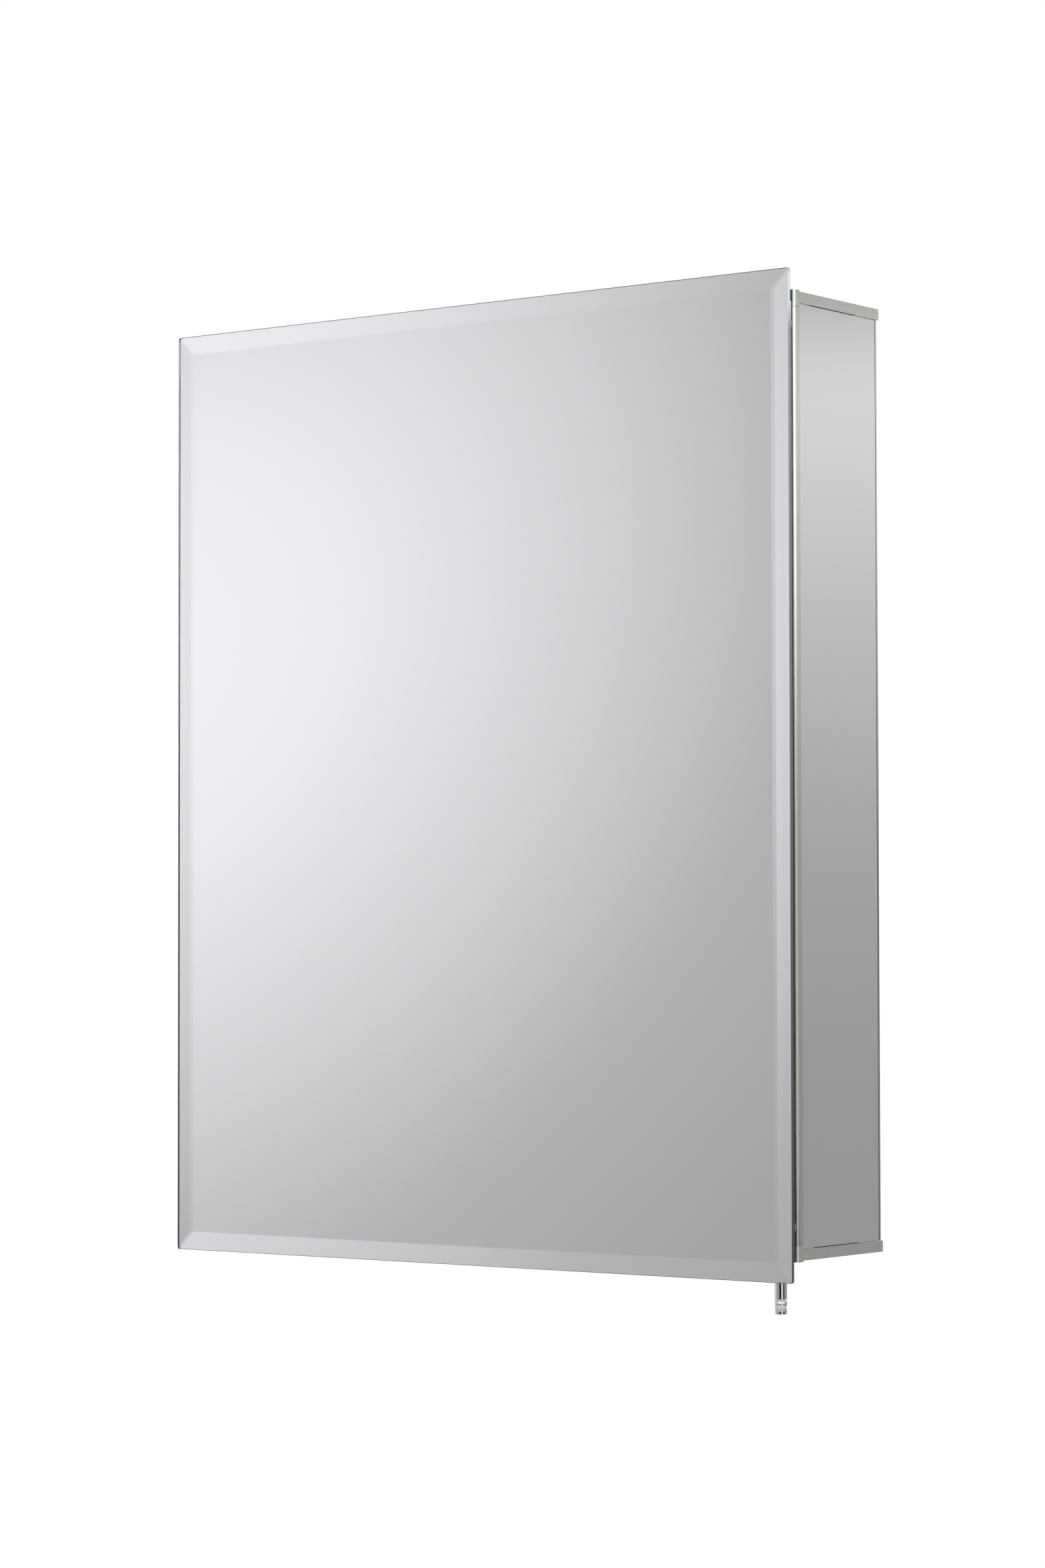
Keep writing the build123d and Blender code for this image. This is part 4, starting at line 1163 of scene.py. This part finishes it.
# --- Shelves ----------------------------------------------------------------------------------------
@dataclass
class Shelf:
    """One glass shelf with its four clips. Sizes in metres."""

    number: int
    corner: float = 6.0 * MM
    edge: float = 0.9 * MM

    def build(self) -> None:
        """Builds the shelf's glass, with a pencil-polished edge, and its clips."""
        node = f"shelf_{self.number}"
        shell = slab(*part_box(node), 2, self.corner, self.edge)
        add_smooth(node + "_glass", [shell], SHELF, node, "shelf_glass", node, 40)
        eased_copy(node + "_holders", node + "_clips", node, CLEAR_PLASTIC, "clip_plastic")


# --- Carried-over CAD nodes ---------------------------------------------------------------------------
def dress_cad_nodes() -> None:
    """Gives each CAD node that still shows the finish of its material slot."""
    for name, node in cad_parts.items():
        if node.hide_render:
            continue
        names = [slot.material.name.split(".")[0] for slot in node.material_slots if slot.material]
        finish = CAD_FINISHES[names[0]]
        for slot in node.material_slots:
            slot.link = "OBJECT"
            slot.material = PAINT[finish]
        LOG.info("%s: CAD shape in %s", name, finish.name)


# --- Studio -------------------------------------------------------------------------------------------
@dataclass(frozen=True)
class Glow:
    """A soft oval glow on a card: centre and half-axes in metres on the card, turned by an angle."""

    centre: tuple[float, float]
    half_axes: tuple[float, float]
    angle: float
    stops: tuple[tuple[float, float], ...]


@dataclass
class Studio:
    """The floor, the reflector cards, the soft lights, the world and the camera."""

    floor_z: float = -1.6
    floor_radius: float = 2.8
    camera_place: tuple[float, float, float] = (2.0056, -2.7442, -0.4296)
    camera_yaw: float = -36.748
    camera_pitch: float = 2.150
    camera_roll: float = -0.097
    lens: float = 95.49
    brightest: float = 1.45
    even_light: float = 0.85
    below: float = 0.62
    window_foot: tuple[float, float] = (-0.19, -0.13)
    window_head: tuple[float, float] = (-0.055, -0.073)
    overhead_from: tuple[float, float] = (0.035, 0.105)
    grey_below: tuple[float, float] = (-0.32, -0.44)
    grey_above: tuple[float, float] = (0.17, 0.26)
    eye_level: tuple[tuple[float, float], ...] = (
        (-180, 0.40), (-172, 0.48), (-148, 0.62), (-110, 0.80), (-82, 0.72), (-62, 0.62), (-30, 0.56),
        (20, 0.50), (46, 0.50), (60, 0.62), (76, 0.55), (100, 0.50), (112, 0.40), (128, 0.34),
        (148, 0.30), (165, 0.28), (169, 0.10), (177, 0.10), (180, 0.40),
    )
    doorway: tuple[tuple[float, float], ...] = (
        (-180, 0.40), (-172, 0.48), (-148, 0.60), (-110, 1.0), (-82, 0.72), (-62, 0.57), (-45, 0.40),
        (-30, 0.36), (-17, 0.32), (-4, 0.30), (7, 0.26), (13, 0.05), (20, 0.012), (34, 0.010),
        (42, 0.05), (47, 0.30), (51, 1.20), (62, 1.20), (67, 0.30), (72, 0.16), (83, 0.10), (112, 0.20),
        (128, 0.30), (148, 0.26), (165, 0.26), (169, 0.10), (177, 0.10), (180, 0.40),
    )
    overhead: tuple[tuple[float, float], ...] = (
        (-180, 0.8), (-30, 0.85), (-17, 1.45), (88, 1.45), (100, 0.8), (180, 0.8),
    )
    card_soft: float = 0.18
    door_card_half: tuple[float, float] = (1.05, 1.45)
    door_glow: Glow = Glow(
        (-0.4826, 0.2226),
        (1.0564, 1.3995),
        134.2,
        ((0.0, 0.985), (0.25, 0.893), (0.5, 0.696), (0.75, 0.483), (1.0, 0.402)),
    )
    side_card_half: tuple[float, float] = (1.15, 1.30)
    side_light: tuple[tuple[float, float], ...] = (
        (-1.60, 0.32), (-0.65, 0.35), (-0.30, 0.42), (0.05, 0.60), (0.33, 0.80),
        (0.42, 0.66), (0.50, 0.32), (0.60, 0.22), (1.00, 0.16),
    )

    def build(self) -> None:
        """Builds the camera first, then the surroundings."""
        self.camera()
        self.world()
        self.floor()
        self.door_card()
        self.side_card()
        self.lights()

    def camera(self) -> None:
        """Sets the camera up from its place, heading, rise and tilt."""
        data = bpy.data.cameras.new("camera")
        data.lens, data.sensor_width, data.sensor_fit = self.lens, 36.0, "AUTO"
        data.clip_start, data.clip_end = 0.05, 60.0
        yaw, pitch, roll = (math.radians(a) for a in (self.camera_yaw, self.camera_pitch, self.camera_roll))
        ahead = Vector((math.sin(yaw) * math.cos(pitch), math.cos(yaw) * math.cos(pitch), math.sin(pitch)))
        right = ahead.cross(Vector((0, 0, 1))).normalized()
        up = right.cross(ahead)
        right, up = right * math.cos(roll) + up * math.sin(roll), up * math.cos(roll) - right * math.sin(roll)
        turn = Matrix((right, up, -ahead)).transposed().to_4x4()
        camera = bpy.data.objects.new("camera", data)
        camera.matrix_world = Matrix.Translation(self.camera_place) @ turn
        bpy.context.scene.collection.objects.link(camera)
        bpy.context.scene.camera = camera
        bpy.context.scene.view_settings.view_transform = "Standard"

    def world(self) -> None:
        """A white backdrop, an even pale room for soft light, and a banded room for reflections.

        For a direction (x, y, z) the angle round about is atan2(x, -y). The banded room's light is
        a curve of that angle near eye level, which blends to a second curve above, and to an even
        grey far above and below. A dark band, such as a doorway, stands a little under eye level.
        """
        world = bpy.data.worlds.new("studio")
        bpy.context.scene.world = world
        world.use_nodes = True
        tree = world.node_tree
        tree.nodes.clear()
        place = add_node(tree, "TexCoord")
        split = add_node(tree, "SeparateXYZ", {0: place.outputs["Generated"]})
        rise = split.outputs["Z"]
        back = add_node(tree, "Math", {0: split.outputs["Y"], 1: -1.0}, operation="MULTIPLY")
        angle = add_node(tree, "Math", {0: split.outputs["X"], 1: back.outputs[0]}, operation="ARCTAN2")
        turn = {"Value": angle.outputs[0], "From Min": -math.pi, "From Max": math.pi}
        about = add_node(tree, "MapRange", turn)

        def curve(stops: tuple[tuple[float, float], ...]) -> bpy.types.NodeSocket:
            """Light round about.

            Args:
                stops: (degrees, light), in rising order.

            Returns:
                The light's socket, as a share of the brightest.
            """
            ramp = add_node(tree, "ValToRGB", {"Fac": about.outputs[0]})
            set_ramp(ramp, [((degrees + 180) / 360, light / self.brightest) for degrees, light in stops])
            return ramp.outputs["Color"]

        def between(low: float, high: float) -> bpy.types.NodeSocket:
            """A soft step in the height of the direction, its z.

            Args:
                low: the height where the step is 0.
                high: the height where it is 1, which may be the lower of the two.

            Returns:
                The step's socket.
            """
            limits = {"Value": rise, "From Min": low, "From Max": high}
            if low > high:
                limits.update({"From Min": high, "From Max": low, "To Min": 1.0, "To Max": 0.0})
            return add_node(tree, "MapRange", limits, interpolation_type="SMOOTHSTEP").outputs[0]

        def blend(
            share: bpy.types.NodeSocket, first: bpy.types.NodeSocket, second: bpy.types.NodeSocket | tuple
        ) -> bpy.types.NodeSocket:
            """One colour that gives way to another.

            Args:
                share: how much of the second.
                first: the first colour's socket.
                second: the second colour, or its socket.

            Returns:
                The mixed colour's socket.
            """
            return add_node(tree, "Mix", {0: share, 6: first, 7: second}, data_type="RGBA").outputs[2]

        parts = {0: between(*self.window_foot), 1: between(*self.window_head)}
        window = add_node(tree, "Math", parts, operation="MULTIPLY")
        level = blend(window.outputs[0], curve(self.eye_level), curve(self.doorway))
        above = blend(between(*self.overhead_from), level, curve(self.overhead))
        grey = (self.below / self.brightest,) * 3 + (1.0,)
        under = blend(between(*self.grey_below), above, grey)
        mirrored = blend(between(*self.grey_above), under, grey)
        banded = add_node(tree, "Background", {"Color": mirrored, "Strength": self.brightest})
        even = add_node(tree, "Background", {"Color": (1, 1, 1, 1), "Strength": self.even_light})
        backdrop = add_node(tree, "Background", {"Color": (1, 1, 1, 1), "Strength": 1.0})
        path = add_node(tree, "LightPath")
        lit = add_node(
            tree, "MixShader", {0: path.outputs["Is Diffuse Ray"], 1: banded.outputs[0], 2: even.outputs[0]}
        )
        mix = add_node(
            tree, "MixShader", {0: path.outputs["Is Camera Ray"], 1: lit.outputs[0], 2: backdrop.outputs[0]}
        )
        add_node(tree, "OutputWorld", {"Surface": mix.outputs[0]})

    def floor(self) -> None:
        """A round pale floor below the cabinet."""
        middle = Vector((0.0, -0.07, self.floor_z))
        profile = np.array([[self.floor_radius, -0.02], [self.floor_radius, 0.0]])
        mesh = mesh_from("floor", [turned(middle, Vector((0, 0, 1)), profile, 128)])
        mesh.materials.append(
            PAINT[Finish("matt_studio_floor", "e4e4e2", 0.8, 0.0, 6.0, Grain.NONE, 0.01, 0.03, 0.02)]
        )
        floor = bpy.data.objects.new("floor", mesh)
        bpy.context.scene.collection.objects.link(floor)

    def card(self, name: str, centre: Vector, right: Vector, half: tuple[float, float]) -> bpy.types.Object:
        """An upright card that only reflections and light see.

        Args:
            name: its name.
            centre: its middle.
            right: the unit vector along its width.
            half: half its width and half its height.

        Returns:
            The card, with an empty material ready for nodes.
        """
        signs = np.array([[-1, -1], [1, -1], [1, 1], [-1, 1]]) * half
        points = np.array(centre) + signs[:, :1] * np.array(right) + signs[:, 1:] * np.array([0, 0, 1])
        mesh = bpy.data.meshes.new(name)
        mesh.from_pydata(points, [], [[0, 1, 2, 3]])
        material = bpy.data.materials.new(name)
        material.use_nodes = True
        material.node_tree.nodes.clear()
        mesh.materials.append(material)
        card = bpy.data.objects.new(name, mesh)
        card.visible_camera = False
        bpy.context.scene.collection.objects.link(card)
        return card

    def light_card(
        self,
        card: bpy.types.Object,
        centre: Vector,
        right: Vector,
        half: tuple[float, float],
        light: bpy.types.NodeSocket,
    ) -> None:
        """Makes a card give out light, fading to nothing near its edges.

        Along each of its axes the fade is 1 - smoothstep from (1 - soft) to 1 of the half-size.

        Args:
            card: the card.
            centre: its middle.
            right: the unit vector along its width.
            half: half its width and half its height.
            light: the socket that holds its light.
        """
        tree = card.data.materials[0].node_tree
        place = add_node(tree, "TexCoord")
        away = add_node(tree, "VectorMath", {0: place.outputs["Object"], 1: centre}, operation="SUBTRACT")
        fades = []
        for axis, reach in ((right, half[0]), (Vector((0, 0, 1)), half[1])):
            along = add_node(tree, "VectorMath", {0: away.outputs[0], 1: axis}, operation="DOT_PRODUCT")
            size = add_node(tree, "Math", {0: along.outputs["Value"]}, operation="ABSOLUTE")
            limits = {"Value": size.outputs[0], "From Min": reach * (1 - self.card_soft), "From Max": reach}
            limits.update({"To Min": 1.0, "To Max": 0.0})
            fades.append(add_node(tree, "MapRange", limits, interpolation_type="SMOOTHSTEP"))
        fade = add_node(tree, "Math", {0: fades[0].outputs[0], 1: fades[1].outputs[0]}, operation="MULTIPLY")
        clear = add_node(tree, "BsdfTransparent")
        glow = add_node(tree, "Emission", {"Color": light, "Strength": 1.0})
        mix = add_node(tree, "MixShader", {0: fade.outputs[0], 1: clear.outputs[0], 2: glow.outputs[0]})
        add_node(tree, "OutputMaterial", {"Surface": mix.outputs[0]})

    def door_card(self) -> None:
        """The card that the door's mirror shows: an oval glow that fades to grey.

        In the card's own (u, v), with x and y turned by the glow's angle, the light depends only on
        q = sqrt((x / a)^2 + (y / b)^2).
        """
        glow = self.door_glow
        right = Vector((0.7997, -0.6004, 0.0))
        centre = Vector((0.0, -0.131, -0.305)) + 2.0 * Vector((-0.600, -0.800, 0.0))
        card = self.card("door_card", centre, right, self.door_card_half)
        tree = card.data.materials[0].node_tree
        turn = math.radians(glow.angle)
        up = Vector((0, 0, 1))
        axes = (right * math.cos(turn) + up * math.sin(turn), up * math.cos(turn) - right * math.sin(turn))
        origin = centre + right * glow.centre[0] + up * glow.centre[1]
        place = add_node(tree, "TexCoord")
        away = add_node(tree, "VectorMath", {0: place.outputs["Object"], 1: origin}, operation="SUBTRACT")
        parts = [
            add_node(tree, "VectorMath", {0: away.outputs[0], 1: axis / half}, operation="DOT_PRODUCT")
            for axis, half in zip(axes, glow.half_axes)
        ]
        joined = add_node(
            tree, "CombineXYZ", {0: parts[0].outputs["Value"], 1: parts[1].outputs["Value"]}
        )
        q = add_node(tree, "VectorMath", {0: joined.outputs[0]}, operation="LENGTH")
        ramp = add_node(tree, "ValToRGB", {"Fac": q.outputs["Value"]})
        set_ramp(ramp, glow.stops)
        self.light_card(card, centre, right, self.door_card_half, ramp.outputs["Color"])

    def side_card(self) -> None:
        """The card that the right side shows: bright at its upper middle, greyer below."""
        ahead, right = Vector((0.560, 0.828, 0.0)), Vector((0.828, -0.560, 0.0))
        centre = Vector((0.302, -0.06, -0.305)) + 2.5 * ahead
        card = self.card("side_card", centre, right, self.side_card_half)
        tree = card.data.materials[0].node_tree
        place = add_node(tree, "TexCoord")
        split = add_node(tree, "SeparateXYZ", {0: place.outputs["Object"]})
        low, high = self.side_light[0][0], self.side_light[-1][0]
        height = add_node(tree, "MapRange", {"Value": split.outputs["Z"], "From Min": low, "From Max": high})
        ramp = add_node(tree, "ValToRGB", {"Fac": height.outputs[0]})
        set_ramp(ramp, [((z - low) / (high - low), light) for z, light in self.side_light])
        self.light_card(card, centre, right, self.side_card_half, ramp.outputs["Color"])

    def lights(self) -> None:
        """Two large soft lamps that mirrors don't show: a key from the upper left, a fill from the right."""
        target = Vector((0, -0.1, -0.3))
        for name, place, size, power in (
            ("key", Vector((-2.2, -2.6, 1.6)), 2.0, 55.0),
            ("fill", Vector((2.8, -1.8, 0.8)), 2.2, 20.0),
        ):
            data = bpy.data.lights.new(name, "AREA")
            data.shape, data.size, data.energy = "DISK", size, power
            lamp = bpy.data.objects.new(name, data)
            lamp.location = place
            lamp.rotation_mode = "QUATERNION"
            lamp.rotation_quaternion = (target - place).to_track_quat("-Z", "Y")
            lamp.visible_glossy = False
            lamp.visible_camera = False
            bpy.context.scene.collection.objects.link(lamp)


def write_sizes() -> None:
    """Brings the scene's placements up to date; it writes nothing."""
    bpy.context.view_layer.update()


def main() -> None:
    """Builds the studio and every piece in order."""
    logging.basicConfig(level=logging.INFO, format="%(name)s: %(message)s")
    for builder in (Studio(), Case(), Door(), PullRod(), Shelf(1), Shelf(2), Shelf(3)):
        LOG.info("building %s", type(builder).__name__)
        builder.build()
    dress_cad_nodes()
    write_sizes()


if __name__ == "__main__":
    main()
